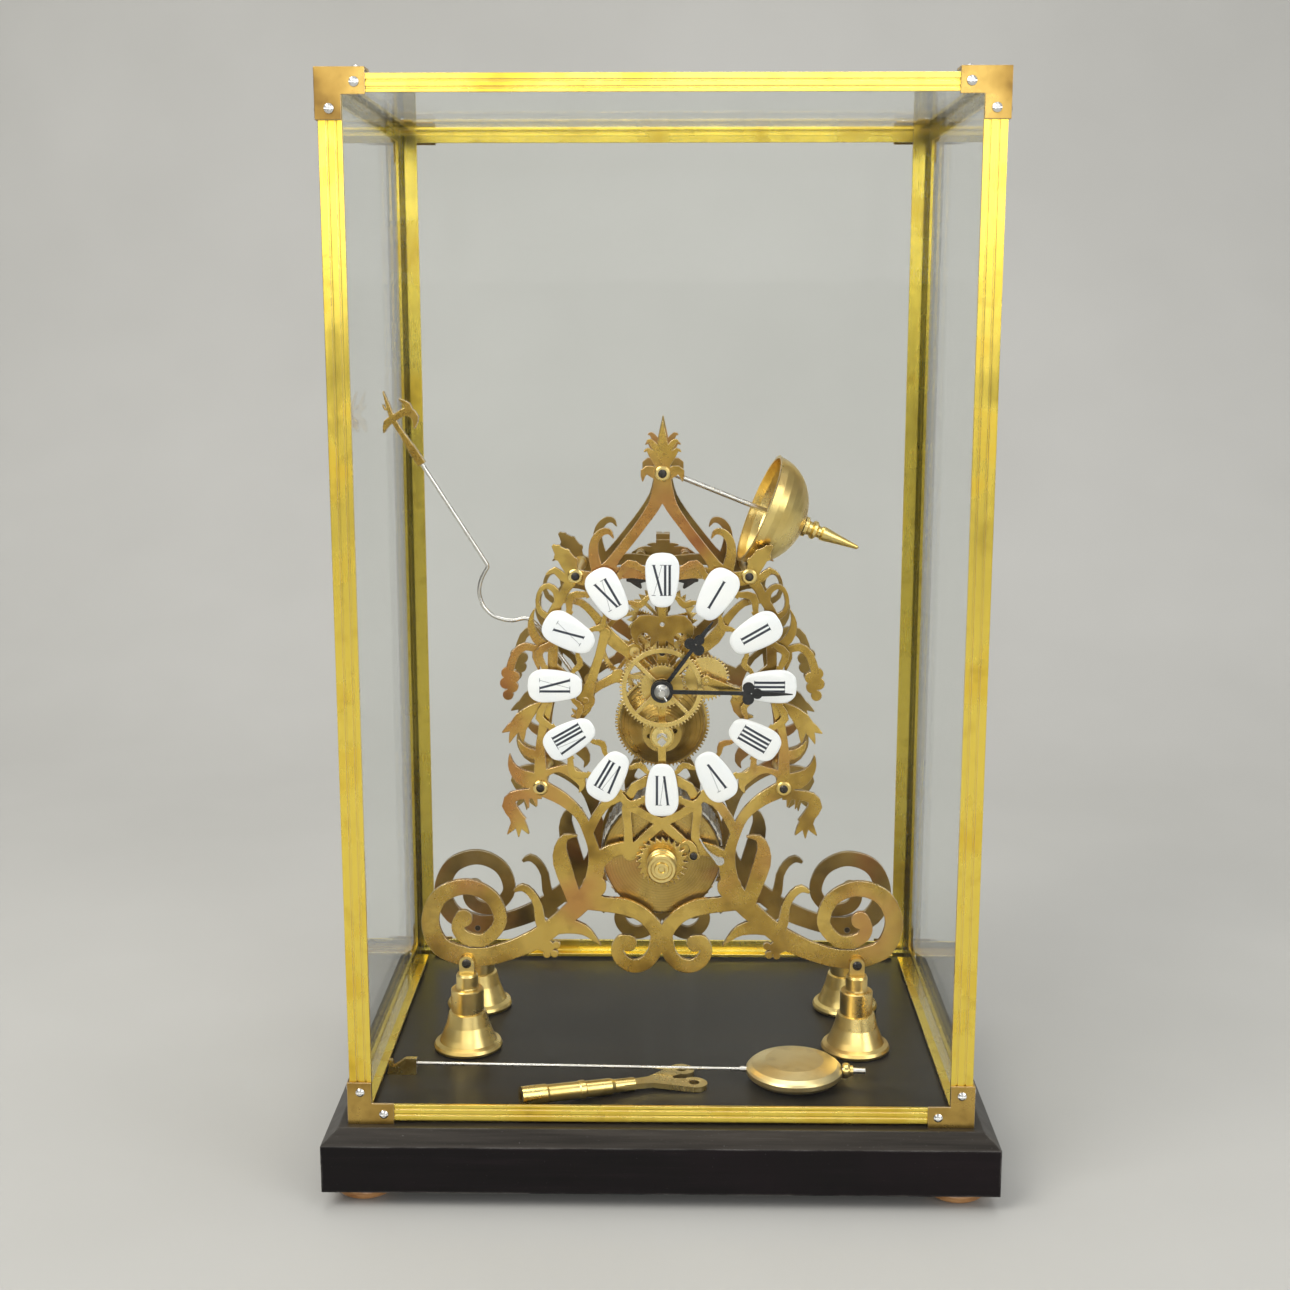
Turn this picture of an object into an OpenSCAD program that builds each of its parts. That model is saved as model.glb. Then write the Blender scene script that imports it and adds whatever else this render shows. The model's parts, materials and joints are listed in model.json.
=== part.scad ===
// Skeleton clock: a fretted brass fusee movement with twelve enamel cartouches on four bell feet,
// under a brass-framed glass cover on a black wooden base.
// X runs to the right, Y to the back, Z up; the origin is at the middle of the base, on the floor.

/* [Base] */
// Width of the wooden base
base_w = 306; // [300:1:330]
// Depth of the wooden base
base_d = 240; // [234:1:260]
// Thickness of the wooden base
base_t = 28; // [20:1:40]
// Height of the four bun feet
bun_h = 8; // [5:1:15]
// Depth of the sloping edge of the base
slope_h = 6; // [3:1:9]

/* [Cover] */
// Width of the glass cover over its brass frame
case_w = 282; // [278:1:292]
// Depth of the glass cover over its brass frame
case_d = 217; // [210:1:226]
// Height of the glass cover
case_h = 460; // [450:1:520]
// Leg of the brass angle of a post
leg = 10; // [8:1:12]
// Leg of the brass angle of a rail
rail_leg = 7.6; // [6.6:0.1:8]
// Thickness of the brass angle
angle_t = 1.6; // [1.2:0.1:2]
// Thickness of the glass
glass_t = 2; // [1.5:0.1:3]

/* [Movement] */
// Distance between the two plates
plate_gap = 46; // [46:1:48]
// Thickness of a plate
plate_t = 2.5; // [2:0.1:3]
// Running clearance of a pivot, on the radius
play = 0.05; // [0.03:0.01:0.08]
// Outer radius of the row of cartouches
dial_r = 64.8; // [64:0.1:66]

/* [Train] */
// Teeth of the great wheel, which drives an eight-leaf pinion
great_n = 78; // [76:2:78]
// Teeth of the centre wheel, which drives a seven-leaf pinion
centre_n = 84; // [82:2:84]
// Teeth of the third wheel, which drives a seven-leaf pinion
third_n = 80; // [78:2:80]
// Teeth of the escape wheel
escape_n = 30; // [24:2:30]

/* [Time shown] */
// Hour hand, in degrees clockwise from XII
hour_at = 36; // [0:1:60]
// Minute hand, in degrees clockwise from XII
minute_at = 91; // [60:1:120]

/* [Hidden] */

// Height of the top of the base, from which the movement's heights are taken
z0 = bun_h + base_t;
// Back face of the front plate and front face of the back plate
yf = 4 - plate_gap / 2;
yb = 4 + plate_gap / 2;
// Outer faces of the plates
yff = yf - plate_t;
ybb = yb + plate_t;
// Dark and bright brasses, steel and black
brass = "goldenrod";
old_brass = "darkgoldenrod";
steel = "silver";
dark = "dimgray";

// Axes of the movement, as [x, height above the base]
dial = [0, 186];
fusee = [0, 160.2];
drum = [0, 97.4];
escape = [0, 216];
hammer = [-37, 178.5];
click_axis = [15.6, 100.6];
top_pillar = [0, 288];
upper_pillar = [41.5, 238.9];
lower_pillar = [59.4, 134.4];
foot_x = 97;
foot_hole = 44.6;

// Tooth modules; each pair fills the distance between its axes
m_great = 2 * norm(dial - fusee) / (great_n + 8);
m_centre = 0.46;
m_third = 0.44;
m_motion = 0.6;
minute_axis_r = 36 * m_motion;
m_hour = 2 * minute_axis_r / 78;
minute_dir = 11.3;
minute_axis = dial + minute_axis_r * [cos(minute_dir), sin(minute_dir)];
// The third arbor stands left of the line from the dial centre to the escape arbor
d_centre = (centre_n + 7) * m_centre / 2;
d_third = (third_n + 7) * m_third / 2;
rise = norm(escape - dial);
third_z = (d_centre * d_centre - d_third * d_third + rise * rise) / (2 * rise);
third = dial + [-sqrt(d_centre * d_centre - third_z * third_z), third_z];
escape_r = 17.2;
pallet = escape + [0, 22.6];
third_dir = atan2(third[1] - dial[1], third[0] - dial[0]);
escape_dir = atan2(escape[1] - third[1], escape[0] - third[0]);

// Radii of arbors and of the bushes that hold them
fusee_r = 2.5;
drum_r = 3;
centre_r = 1.5;
train_r = 1;
hammer_r = 1.5;
AXES = [[fusee, fusee_r, 5], [drum, drum_r, 6], [dial, centre_r, 3.4], [third, train_r, 2.4],
  [pallet, train_r, 2.2], [hammer, hammer_r, 3]];

// ---------- drawing helpers ----------

// Smooth curve through the control points p, with n steps to a span
function blend4(a, b, c, d, t) =
  0.5 * (2 * b + (c - a) * t + (2 * a - 5 * b + 4 * c - d) * t * t + (3 * b - a - 3 * c + d) * t * t * t);
function curve(p, n = 2) = let(m = len(p)) [
  for (i = [0:m - 2], k = [0:n - 1])
    blend4(i > 0 ? p[i - 1] : 2 * p[0] - p[1], p[i], p[i + 1],
           i < m - 2 ? p[i + 2] : 2 * p[m - 1] - p[m - 2], k / n),
  p[m - 1]];
function polar(r, a) = r * [cos(a), sin(a)];
// Half of a stroke's width, square to its run, at point i
function half(q, i) =
  let(a = q[max(i - 1, 0)], b = q[min(i + 1, len(q) - 1)], d = [b[0] - a[0], b[1] - a[1]])
  [-d[1], d[0]] / norm(d) * q[i][2] / 2;
function xy(v) = [v[0], v[1]];

// Ribbon along control points [x, y, width]
module stroke(p, n = 2) {
  q = curve(p, n);
  for (i = [0:len(q) - 2]) {
    a = half(q, i);
    b = half(q, i + 1);
    polygon([xy(q[i]) + a, xy(q[i]) - a, xy(q[i + 1]) - b, xy(q[i + 1]) + b]);
  }
}
// Round spot at v
module spot(v, r) {
  translate(v) circle(r, $fn = 32);
}
// Outline drawn in the plane of the dial, solid from depth y0 to depth y1
module slab(y0, y1) {
  translate([0, y1, z0]) rotate([90, 0, 0]) linear_extrude(y1 - y0) children();
}
// Round bar along Y on axis c, from depth y0 to depth y1
module bar(c, r, y0, y1) {
  translate([c[0], y0, z0 + c[1]]) rotate([-90, 0, 0]) cylinder(r = r, h = y1 - y0, $fn = 48);
}
// Turned piece on axis c, from a profile of [radius, depth]
module turned(c, profile) {
  translate([c[0], 0, z0 + c[1]]) rotate([-90, 0, 0]) rotate_extrude($fn = 64) polygon(profile);
}
module mirrored() {
  children();
  mirror([1, 0]) children();
}
// Slotted screw head with its face toward the front, seated at depth y
module slotted_head(c, r, y, h, slot) {
  difference() {
    turned(c, [[0, y], [r, y], [r, y - 0.35 * h], [0.72 * r, y - 0.8 * h], [0, y - h]]);
    translate([c[0], y - h, z0 + c[1]]) rotate([0, slot, 0])
      cube([3 * r, 0.9 * h, 0.36 * r], center = true);
  }
}

// ---------- gear helpers ----------

// Toothed outline with n teeth, one of them at angle a; a pinion has thin rounded leaves
function tooth(m, leaf) = leaf
  ? [[-1.5 * m, 0.17], [0, 0.17], [0.3 * m, 0.14], [0.5 * m, 0.08]]
  : [[-1.15 * m, 0.22], [0, 0.21], [0.5 * m, 0.16], [0.95 * m, 0.06]];
function gear_points(n, m, a = 0, leaf = false) =
  let(t = tooth(m, leaf), p = 360 / n, r = n * m / 2)
  [for (i = [0:n - 1], k = [0:7])
    let(v = k < 4 ? t[k] : t[7 - k], s = k < 4 ? -1 : 1)
    polar(r + v[0], a + i * p + s * v[1] * p)];
module gear(n, m, a = 0, leaf = false) {
  polygon(gear_points(n, m, a, leaf));
}
// Wheel with spokes: rim of width rim, hub of radius hub, arms of width arm
module crossed_wheel(n, m, a, rim, hub, arms, arm, turn = 0) {
  inner = n * m / 2 - 1.15 * m - rim;
  difference() {
    gear(n, m, a);
    circle(inner, $fn = 64);
  }
  circle(hub, $fn = 48);
  for (i = [0:arms - 1])
    rotate(turn + i * 360 / arms)
      translate([hub - 0.8, -arm / 2]) square([inner - hub + 1.6, arm]);
}
// Saw-toothed disc with n teeth, leaning by lean of a pitch
function saw_points(n, r1, r2, lean) = [for (i = [0:n - 1], k = [0:1])
  polar(k == 0 ? r1 : r2, (i + (k == 0 ? 0 : lean)) * 360 / n)];

// ---------- base and cover ----------

module base_board() {
  w = base_w / 2;
  d = base_d / 2;
  run = 7;
  color([0.08, 0.07, 0.07]) translate([0, 0, bun_h]) intersection() {
    translate([0, d, 0]) rotate([90, 0, 0]) linear_extrude(base_d)
      polygon([[-w, 0], [w, 0], [w, base_t - slope_h], [w - run, base_t], [run - w, base_t],
               [-w, base_t - slope_h]]);
    rotate([90, 0, 90]) translate([0, 0, -w]) linear_extrude(base_w)
      polygon([[-d, 0], [d, 0], [d, base_t - slope_h], [d - run, base_t], [run - d, base_t],
               [-d, base_t - slope_h]]);
  }
}
module bun_feet() {
  r = 14;
  color("sienna") for (x = [-1, 1], y = [-1, 1])
    translate([x * (base_w / 2 - 17), y * (base_d / 2 - 20), 0]) rotate_extrude($fn = 64)
      polygon([[0, 0], [r - 3, 0], [r - 0.9, 1.4], [r, bun_h / 2], [r - 0.9, bun_h - 1.4],
               [r - 3, bun_h], [0, bun_h]]);
}

// Section of the brass angle, with two grooves along each leg
module angle_section(w) {
  groove = 0.45;
  difference() {
    union() {
      square([w, angle_t]);
      square([angle_t, w]);
    }
    for (g = [0.33 * w, 0.7 * w]) {
      translate([g, -1]) square([0.8, 1 + groove]);
      translate([-1, g]) square([1 + groove, 0.8]);
    }
  }
}
// Puts its child, drawn for the front left corner at the origin, on all four corners
module four_corners() {
  for (x = [0, 1], y = [0, 1])
    mirror([x, 0, 0]) mirror([0, y, 0]) translate([-case_w / 2, -case_d / 2, z0]) children();
}
module case_posts() {
  color("gold") four_corners() linear_extrude(case_h) angle_section(leg);
}
// Distance of a rail from the end of the posts
rail_in = 1.4;
// The four rails of one level
module rails(z, flip) {
  long = case_w - 2 * leg;
  deep = case_d - 2 * leg;
  for (s = [0, 1]) {
    mirror([0, s, 0]) translate([-long / 2, -case_d / 2, z]) mirror([0, 0, flip])
      rotate([90, 0, 90]) linear_extrude(long) angle_section(rail_leg);
    mirror([s, 0, 0]) translate([-case_w / 2, deep / 2, z]) mirror([0, 0, flip])
      rotate([90, 0, 0]) linear_extrude(deep) angle_section(rail_leg);
  }
}
module case_top_rails() {
  color("gold") rails(z0 + case_h - rail_in, 1);
}
module case_bottom_rails() {
  color("gold") rails(z0 + rail_in, 0);
}

bracket_t = 1;
bracket_arm = 20;
bracket_pin = 0.9;
// Screw places on the two arms of a bracket face
BRACKET_HOLES = [[15.5, leg / 2], [leg / 2, 15.5]];
// Bracket of one lower corner; upper corners also wrap over the top
module bracket(top) {
  t = bracket_t;
  difference() {
    union() {
      translate([-t, -t, 0]) cube([bracket_arm + t, t, leg]);
      translate([-t, -t, 0]) cube([leg + t, t, bracket_arm]);
      translate([-t, -t, 0]) cube([t, bracket_arm + t, leg]);
      translate([-t, -t, 0]) cube([t, leg + t, bracket_arm]);
      if (top) {
        translate([-t, -t, -t]) cube([bracket_arm + t, leg + t, t]);
        translate([-t, -t, -t]) cube([leg + t, bracket_arm + t, t]);
      }
    }
    bracket_places(top) translate([0, 0, -1]) cylinder(r = bracket_pin, h = 4, $fn = 24);
  }
}
// Puts its child, drawn with +Z out of the bracket's face, at each screw of one corner
module bracket_places(top) {
  for (h = BRACKET_HOLES) {
    translate([h[0], 0, h[1]]) rotate([90, 0, 0]) children();
    translate([0, h[0], h[1]]) rotate([0, -90, 0]) children();
    if (top) translate([h[0], h[1], 0]) mirror([0, 0, 1]) children();
  }
}
module all_brackets() {
  four_corners() {
    children(0);
    translate([0, 0, case_h]) mirror([0, 0, 1]) children(1);
  }
}
module corner_brackets() {
  color(brass) all_brackets() {
    bracket(false);
    bracket(true);
  }
}
module bracket_screw() {
  difference() {
    rotate_extrude($fn = 32)
      polygon([[0, 0], [bracket_pin, 0], [bracket_pin, bracket_t], [2.1, bracket_t],
               [2, bracket_t + 0.6], [1.2, bracket_t + 1.15], [0, bracket_t + 1.3]]);
    translate([-3, -0.3, bracket_t + 0.6]) cube([6, 0.6, 1]);
  }
}
module bracket_screws() {
  color(steel) all_brackets() {
    bracket_places(false) bracket_screw();
    bracket_places(true) bracket_screw();
  }
}
// Pane set inside the brass angle
pane_gap = 0.2;
pane_w = case_w - 2 * (angle_t + pane_gap);
pane_d = case_d - 2 * (angle_t + pane_gap);
pane_z = z0 + rail_in + angle_t + pane_gap;
pane_h = case_h - 2 * (rail_in + angle_t + pane_gap) - glass_t - pane_gap;
module front_pane(y) {
  color([0.8, 0.9, 0.9, 0.25]) translate([-pane_w / 2, y, pane_z]) cube([pane_w, glass_t, pane_h]);
}
module glass_front() {
  front_pane(-pane_d / 2);
}
module glass_back() {
  front_pane(pane_d / 2 - glass_t);
}
module glass_sides() {
  d = pane_d - 2 * glass_t - 2 * pane_gap;
  color([0.8, 0.9, 0.9, 0.25]) for (s = [0, 1]) mirror([s, 0, 0])
    translate([-pane_w / 2, -d / 2, pane_z]) cube([glass_t, d, pane_h]);
}
module glass_top() {
  color([0.8, 0.9, 0.9, 0.25])
    translate([-pane_w / 2, -pane_d / 2, pane_z + pane_h + pane_gap]) cube([pane_w, pane_d, glass_t]);
}

// ---------- fretted plates ----------

// Left half of the plate's spike, neck, arms and upper scrolls
module upper_fret() {
  stroke([[0, 281, 9], [0, 289, 7.4], [0, 296, 6.6], [0, 303, 4.6], [0, 308, 2.4], [0, 312.6, 0.5]]);
  stroke([[-1, 296.5, 4], [-3.6, 300.5, 3.2], [-6, 303.4, 2.2], [-7.6, 303, 0.5]]);
  stroke([[-1.5, 292, 4], [-4.6, 296.4, 3.4], [-7, 299.2, 2], [-8.8, 298.2, 0.5]]);
  stroke([[-1.5, 286.5, 5], [-5.6, 289.2, 5], [-8.8, 288.6, 3.6], [-9.4, 284.2, 0.5]]);
  stroke([[-0.8, 285, 6.6], [-1.6, 279, 7.2], [-4.4, 272, 5.8], [-9.7, 264.2, 5], [-15.3, 256.8, 5],
          [-22.3, 248, 5], [-27, 241.5, 7], [-34, 237.5, 7], [-41.5, 238.9, 7]]);
  stroke([[-30.5, 240, 6], [-32.8, 249, 5], [-32.2, 256, 4], [-28.8, 260, 3.4], [-25.3, 260.2, 2.6],
          [-23.3, 257.1, 0.5]], 3);
  stroke([[-43, 239, 5], [-44.6, 245, 8], [-48.6, 250, 6], [-52.4, 253.8, 1.4]]);
  spot([-41.9, 246.4], 1.6);
  spot([-45.6, 250.4], 1.6);
  spot([-49.8, 252.6], 1.4);
  spot([-50.2, 248], 1.6);
  stroke([[-42, 237, 5], [-47.5, 238.4, 4], [-51.6, 241.8, 3], [-55.8, 239.6, 0.5]]);
  stroke([[-41.8, 239, 6], [-46, 233, 4.6], [-49.4, 226.5, 4.4], [-53, 220.4, 4.6], [-54, 212, 5],
          [-52.6, 203, 5]]);
  stroke([[-54, 218.6, 3.4], [-58.6, 221.6, 2.6], [-59.9, 227.4, 1.9], [-58, 232.6, 2.2],
          [-54.6, 234.1, 2.8], [-51, 231.4, 3.2], [-50.2, 226.4, 3]]);
}
// Left half of the sprays beside the dial
module side_fret() {
  stroke([[-55.5, 204, 5], [-60.6, 208.4, 4.4], [-63, 214, 3.6], [-62.8, 219, 2], [-61.2, 223, 0.5]]);
  stroke([[-53, 205, 5], [-60.5, 203.4, 3.4], [-66, 204.6, 3.8], [-71, 200.8, 4], [-74, 192, 4]]);
  for (grape = [[-75, 191.6, 2.8], [-71.6, 189.6, 2.8], [-75.6, 186.6, 2.9], [-72.4, 184.8, 2.8],
                [-74.6, 180.8, 2.6]])
    spot(xy(grape), grape[2]);
  stroke([[-60.5, 204, 3], [-60.6, 199.5, 4.2], [-59.4, 192.5, 0.5]]);
  stroke([[-52.6, 206, 5], [-53, 194, 4.6], [-54, 184, 4.2], [-56, 174, 5], [-58, 164, 4.2],
          [-59.4, 154, 4.6], [-59.4, 143, 6], [-59.4, 134.4, 8]]);
  stroke([[-56, 176, 3.4], [-62, 174, 4.6], [-67.6, 168.6, 8], [-70.6, 163.6, 8.4]]);
  stroke([[-69, 167, 5], [-73.6, 164.6, 4], [-77.8, 162, 0.5]]);
  stroke([[-70.6, 165, 5], [-73, 160.6, 3], [-74.3, 156.8, 0.5]]);
  stroke([[-68.4, 166, 5], [-67.9, 161, 3], [-67.7, 157, 0.5]]);
  stroke([[-58.6, 150.4, 4.4], [-64, 151.4, 4.8], [-68, 154.2, 3], [-70, 158.4, 0.5]]);
  stroke([[-59, 137.5, 7], [-66.4, 138.4, 8.6], [-71.4, 142, 5.6], [-73.8, 146.4, 3], [-74.3, 151, 0.5]]);
  stroke([[-59, 131.6, 6], [-67, 131, 4.8], [-73, 129.6, 5.4], [-75, 125.4, 7], [-72.2, 120.6, 6.4],
          [-70.2, 116.6, 8]]);
  for (tip = [[-76, 110.6], [-70.4, 109.2], [-65.4, 110.8]])
    stroke([[-70.4, 119, 4], [(tip[0] - 70.3) / 2, 114.6, 3.4], [tip[0], tip[1], 0.5]], 3);
  stroke([[-66.5, 130, 3], [-65.3, 124, 0.5]]);
  stroke([[-62.4, 130, 3], [-61.3, 125, 0.5]]);
  stroke([[-57.6, 141.2, 4], [-52, 143.4, 2.6], [-46.5, 143.4, 5], [-41, 140, 6], [-39, 135.4, 3.2],
          [-40.6, 132, 0.5]]);
  stroke([[-53.4, 196, 3.4], [-46, 190, 3], [-40, 183, 6], [-37, 177.6, 8], [-39.4, 171, 4.4],
          [-44.2, 170.2, 0.6]]);
}
// Left half of the framing inside the dial, which carries the pivots
module inner_fret() {
  stroke([[-49, 228, 4], [-39, 226, 3.4], [-31, 218, 4], [-25, 209, 6.4], [-13, 199, 5], [0, 186, 7]], 3);
  stroke([[-27, 240, 6], [-14, 240.6, 5.2], [0, 238.6, 5.4]]);
  stroke([[0, 242, 5.4], [0, 186, 5.4]], 1);
  stroke([[0, 186, 3.9], [0, 138, 3.9]], 1);
  stroke([[-16.4, 104, 4.6], [-16.6, 115, 4], [-17.4, 124, 4.6], [-13.5, 134.6, 4.6], [0, 141, 5]]);
  stroke([[-17, 126, 4.4], [-9, 121, 4], [0, 116.6, 4.6]]);
  stroke([[-14, 103.6, 4.4], [0, 116.6, 4.6]], 1);
  stroke([[-36.4, 111, 5], [-32, 120, 4.4], [-26, 127.4, 4.6], [-17.4, 130.6, 4.4]]);
  stroke([[38, 181, 6], [30, 185.6, 4], [minute_axis[0], minute_axis[1], 5]]);
  spot(minute_axis, 3.4);
  spot(third, 4);
  spot(click_axis, 3.4);
}
// Left half of the lower frame: bowed arms, barrel window, leaves and the great volute
module lower_fret() {
  stroke([[-59.4, 134.4, 8], [-48.5, 128.4, 6.4], [-40.2, 120.3, 5], [-35.9, 110.5, 5], [-33.6, 103, 5.6],
          [-32.4, 94, 8.2], [-34, 86, 8.4]], 3);
  stroke([[-42.4, 74.6, 7], [-45.6, 84, 7.8], [-49.4, 96, 8.6], [-50, 103.5, 6.2], [-47.4, 109, 3.4],
          [-41.5, 109.8, 0.5]]);
  stroke([[-31.5, 97, 9], [-25, 102, 6.6], [-17, 103.6, 6.6], [-8, 102.4, 8], [0, 101, 9]]);
  stroke([[-57, 59, 7], [-60.4, 66, 5], [-61.4, 74, 4.2], [-64.8, 80.4, 3.8], [-69.2, 83.2, 3.6],
          [-73, 81.3, 1.4]]);
  spot([-33.4, 84], 6);
  stroke([[-33.4, 84, 10], [-40, 75.5, 10], [-50, 66, 9], [-57.5, 60, 9.4], [-65, 55, 10], [-75, 50.6, 9.4],
          [-86, 47.4, 9.4], [-96.5, 46.5, 10]], 3);
  // Great volute as [angle, radius, width] about its eye
  volute = [[-90, 19, 10], [-135, 19, 9.6], [-180, 18.6, 8.8], [-225, 18.6, 8.2], [-270, 17.9, 7.7],
            [-315, 17.3, 7], [-360, 16.3, 6.5], [-405, 13, 6.4], [-440, 9.8, 6.6], [-475, 7.6, 6.4],
            [-510, 5.6, 6.4], [-560, 4, 6]];
  stroke([for (v = volute) [-96.5 + v[1] * cos(v[0]), 65.5 + v[1] * sin(v[0]), v[2]]], 5);
  spot([-98.4, 67], 4.4);
  stroke([[-56, 61.4, 6], [-47, 63.2, 7.4], [-38.8, 61.4, 5.4], [-34, 57.4, 2.8], [-30.3, 53.3, 0.5]]);
  stroke([[-62, 54.6, 6], [-57.4, 52.8, 7], [-54.4, 50.4, 5]]);
  spot([-52.4, 53.4], 1.9);
  spot([-53.4, 48.8], 1.9);
  spot([-57.2, 48.4], 1.8);
  stroke([[-38, 77, 10], [-29, 74.8, 7.6], [-18.5, 73.4, 8.2], [-10, 69.6, 7.4], [-4, 63.6, 7.4],
          [-1.6, 57.5, 7.4], [-2.4, 52, 7]], 3);
  stroke([[-2.2, 57, 6.6], [-4, 49, 6.8], [-8.6, 43.9, 6.8], [-14.4, 42.6, 6.8], [-19.8, 45.6, 6.6],
          [-22.2, 51, 6], [-20, 56, 5.4], [-16.4, 56, 5]], 4);
  spot([-16.6, 54.6], 4.2);
}
// Joins overlapping strokes into one clean outline
module joined() {
  offset(delta = 0.01) children();
}
// Complete outline of a plate
module plate_outline() {
  joined() {
    mirrored() {
      upper_fret();
      side_fret();
      inner_fret();
      lower_fret();
      spot([-foot_x, foot_hole + 1], 5);
    }
    spot(fusee, 6);
    spot(dial, 7);
    spot(drum, 10);
    spot(pallet, 4.4);
    spot(escape, 4);
  }
}
pillar_hole = 1.5;
PILLARS = concat([top_pillar], [for (s = [-1, 1], p = [upper_pillar, lower_pillar]) [s * p[0], p[1]]]);
module plate(y) {
  difference() {
    slab(y, y + plate_t) plate_outline();
    for (a = AXES) bar(a[0], a[2], y - 1, y + plate_t + 1);
    for (p = PILLARS) bar(p, pillar_hole, y - 1, y + plate_t + 1);
    for (s = [-1, 1]) bar([s * foot_x, foot_hole], pillar_hole, y - 1, y + plate_t + 1);
    bar(escape, 2, y - 1, y + plate_t + 1);
  }
}
module front_plate() {
  color(brass) plate(yff);
}
module back_plate() {
  color(old_brass) plate(yb);
}
module plate_pillars() {
  r = 3.4;
  neck = 2.7;
  color(brass) for (p = PILLARS) turned(p,
    p == top_pillar
      ? [[0, yf], [r, yf], [r, bell_y - 3.2], [neck, bell_y - 3.2], [neck, bell_y + 3.2], [r, bell_y + 3.2],
         [r, yb], [0, yb]]
      : [[0, yf], [r, yf], [r, yf + 4], [neck, yf + 6], [neck, yb - 6], [r, yb - 4], [r, yb], [0, yb]]);
}
module pillar_washers() {
  t = 1.2;
  color("gold") for (p = PILLARS, back = [0, 1]) {
    y = back == 0 ? yff : ybb;
    s = back == 0 ? -1 : 1;
    turned(p, [[pillar_hole, y], [3.8, y], [3.6, y + s * 0.8], [3, y + s * t], [pillar_hole, y + s * t]]);
  }
}
module pillar_screws() {
  t = 1.2;
  color(dark) for (p = PILLARS) {
    slotted_head(p, 2, yff - t, 1.1, 70 + 7 * p[0]);
    bar(p, pillar_hole, yff - t, yf);
    mirror([0, 1, 0]) slotted_head(p, 2, -ybb - t, 1.1, 20 + 5 * p[0]);
    bar(p, pillar_hole, yb, ybb + t);
  }
}
foot_pin = 1.4;
module clock_feet() {
  tab = 3;
  color(brass) for (x = [-1, 1], back = [0, 1]) {
    y = back == 0 ? yff - tab / 2 : ybb + tab / 2;
    difference() {
      union() {
        translate([x * foot_x, y, z0]) rotate_extrude($fn = 64)
          polygon([[0, 0], [15.4, 0], [16.8, 0.9], [17.1, 2.2], [16.4, 3.6], [15.2, 4.2], [14.3, 4.6],
                   [13, 7.4], [10.8, 13], [9.2, 19.4], [8.1, 19.8], [8.1, 31], [7.6, 31.5], [5.6, 31.7],
                   [5.4, 32.4], [5.4, 38.2], [4.8, 39.4], [0, 39.4]]);
        translate([x * foot_x - 3.7, y - tab / 2, z0 + 39]) cube([7.4, tab, foot_hole - 39]);
        bar([x * foot_x, foot_hole], 3.7, y - tab / 2, y + tab / 2);
      }
      bar([x * foot_x, foot_hole], foot_pin, y - tab, y + tab);
    }
  }
}
module foot_screws() {
  tab = 3;
  color(dark) for (x = [-1, 1]) {
    c = [x * foot_x, foot_hole];
    slotted_head(c, 2.3, yff - tab, 1.2, 20 * x);
    bar(c, foot_pin, yff - tab, yf);
    mirror([0, 1, 0]) slotted_head(c, 2.3, -ybb - tab, 1.2, 60 * x);
    bar(c, foot_pin, yb, ybb + tab);
  }
}
// Pivot bushes pressed into a plate whose front face is at depth y
module bushes(y) {
  for (a = AXES) difference() {
    bar(a[0], a[2], y, y + plate_t);
    bar(a[0], a[1] + play, y - 1, y + plate_t + 1);
  }
  difference() {
    bar(escape, 2, y, y + plate_t);
    bar(escape, train_r + play, y - 1, y + plate_t + 1);
  }
}
module front_bushes() {
  color("gold") bushes(yff);
}
module rear_bushes() {
  color("gold") bushes(yb);
}

// ---------- dial ----------

ring_t = 1;
ring_gap = 2;
ring_y = yff - ring_gap;
enamel_t = 1.7;
// Half outline of a cartouche, as [half width, distance inward from its outer end]
CARTOUCHE = [[0, 0], [4.8, 0.9], [7.7, 4.6], [8.1, 10.4], [7.2, 17.6], [5.6, 23.2], [3, 25.8], [0, 26.3]];
module cartouche_outline(grow = 0) {
  side = curve(CARTOUCHE, 3);
  offset(delta = grow) translate([0, dial_r])
    polygon(concat([for (v = side) [v[0], -v[1]]],
                   [for (i = [len(side) - 2:-1:1]) [-side[i][0], -side[i][1]]]));
}
// One twelfth of the fretted ring that carries the cartouches: a waved outer and inner link
module ring_link() {
  joined() {
    stroke([for (a = [-15:2.5:15]) let(r = dial_r - 5.6 + 2.2 * cos(24 * a))
      [r * sin(a), r * cos(a), 3.2 + 0.8 * cos(24 * a)]], 1);
    stroke([for (a = [-15:2.5:15]) let(r = dial_r - 22.4 - 1.6 * cos(24 * a))
      [r * sin(a), r * cos(a), 2.6 + 0.6 * cos(24 * a)]], 1);
    for (s = [-1, 1]) stroke([[s * 5, 57, 3], [s * 9.5, 55, 2.6], [s * 11, 51.6, 2.2], [s * 9, 48.4, 0.5]]);
  }
}
// The numerals' places, clockwise from XII
module hours() {
  for (i = [0:11]) translate(dial) rotate(-30 * i) children();
}
module chapter_ring() {
  color(brass) {
    slab(ring_y - ring_t, ring_y) joined() {
      hours() rotate(-15) ring_link();
      hours() cartouche_outline(-1.6);
    }
    for (s = [-1, 1], z = [143.8, 227.3]) bar([s * 42.6, z], 1.4, ring_y - 0.2, yff);
  }
}
module cartouches() {
  color("white") slab(ring_y - ring_t - enamel_t, ring_y - ring_t) hours() cartouche_outline();
}

// ---------- cocks, click work and screws ----------

cock_t = 2;
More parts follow.
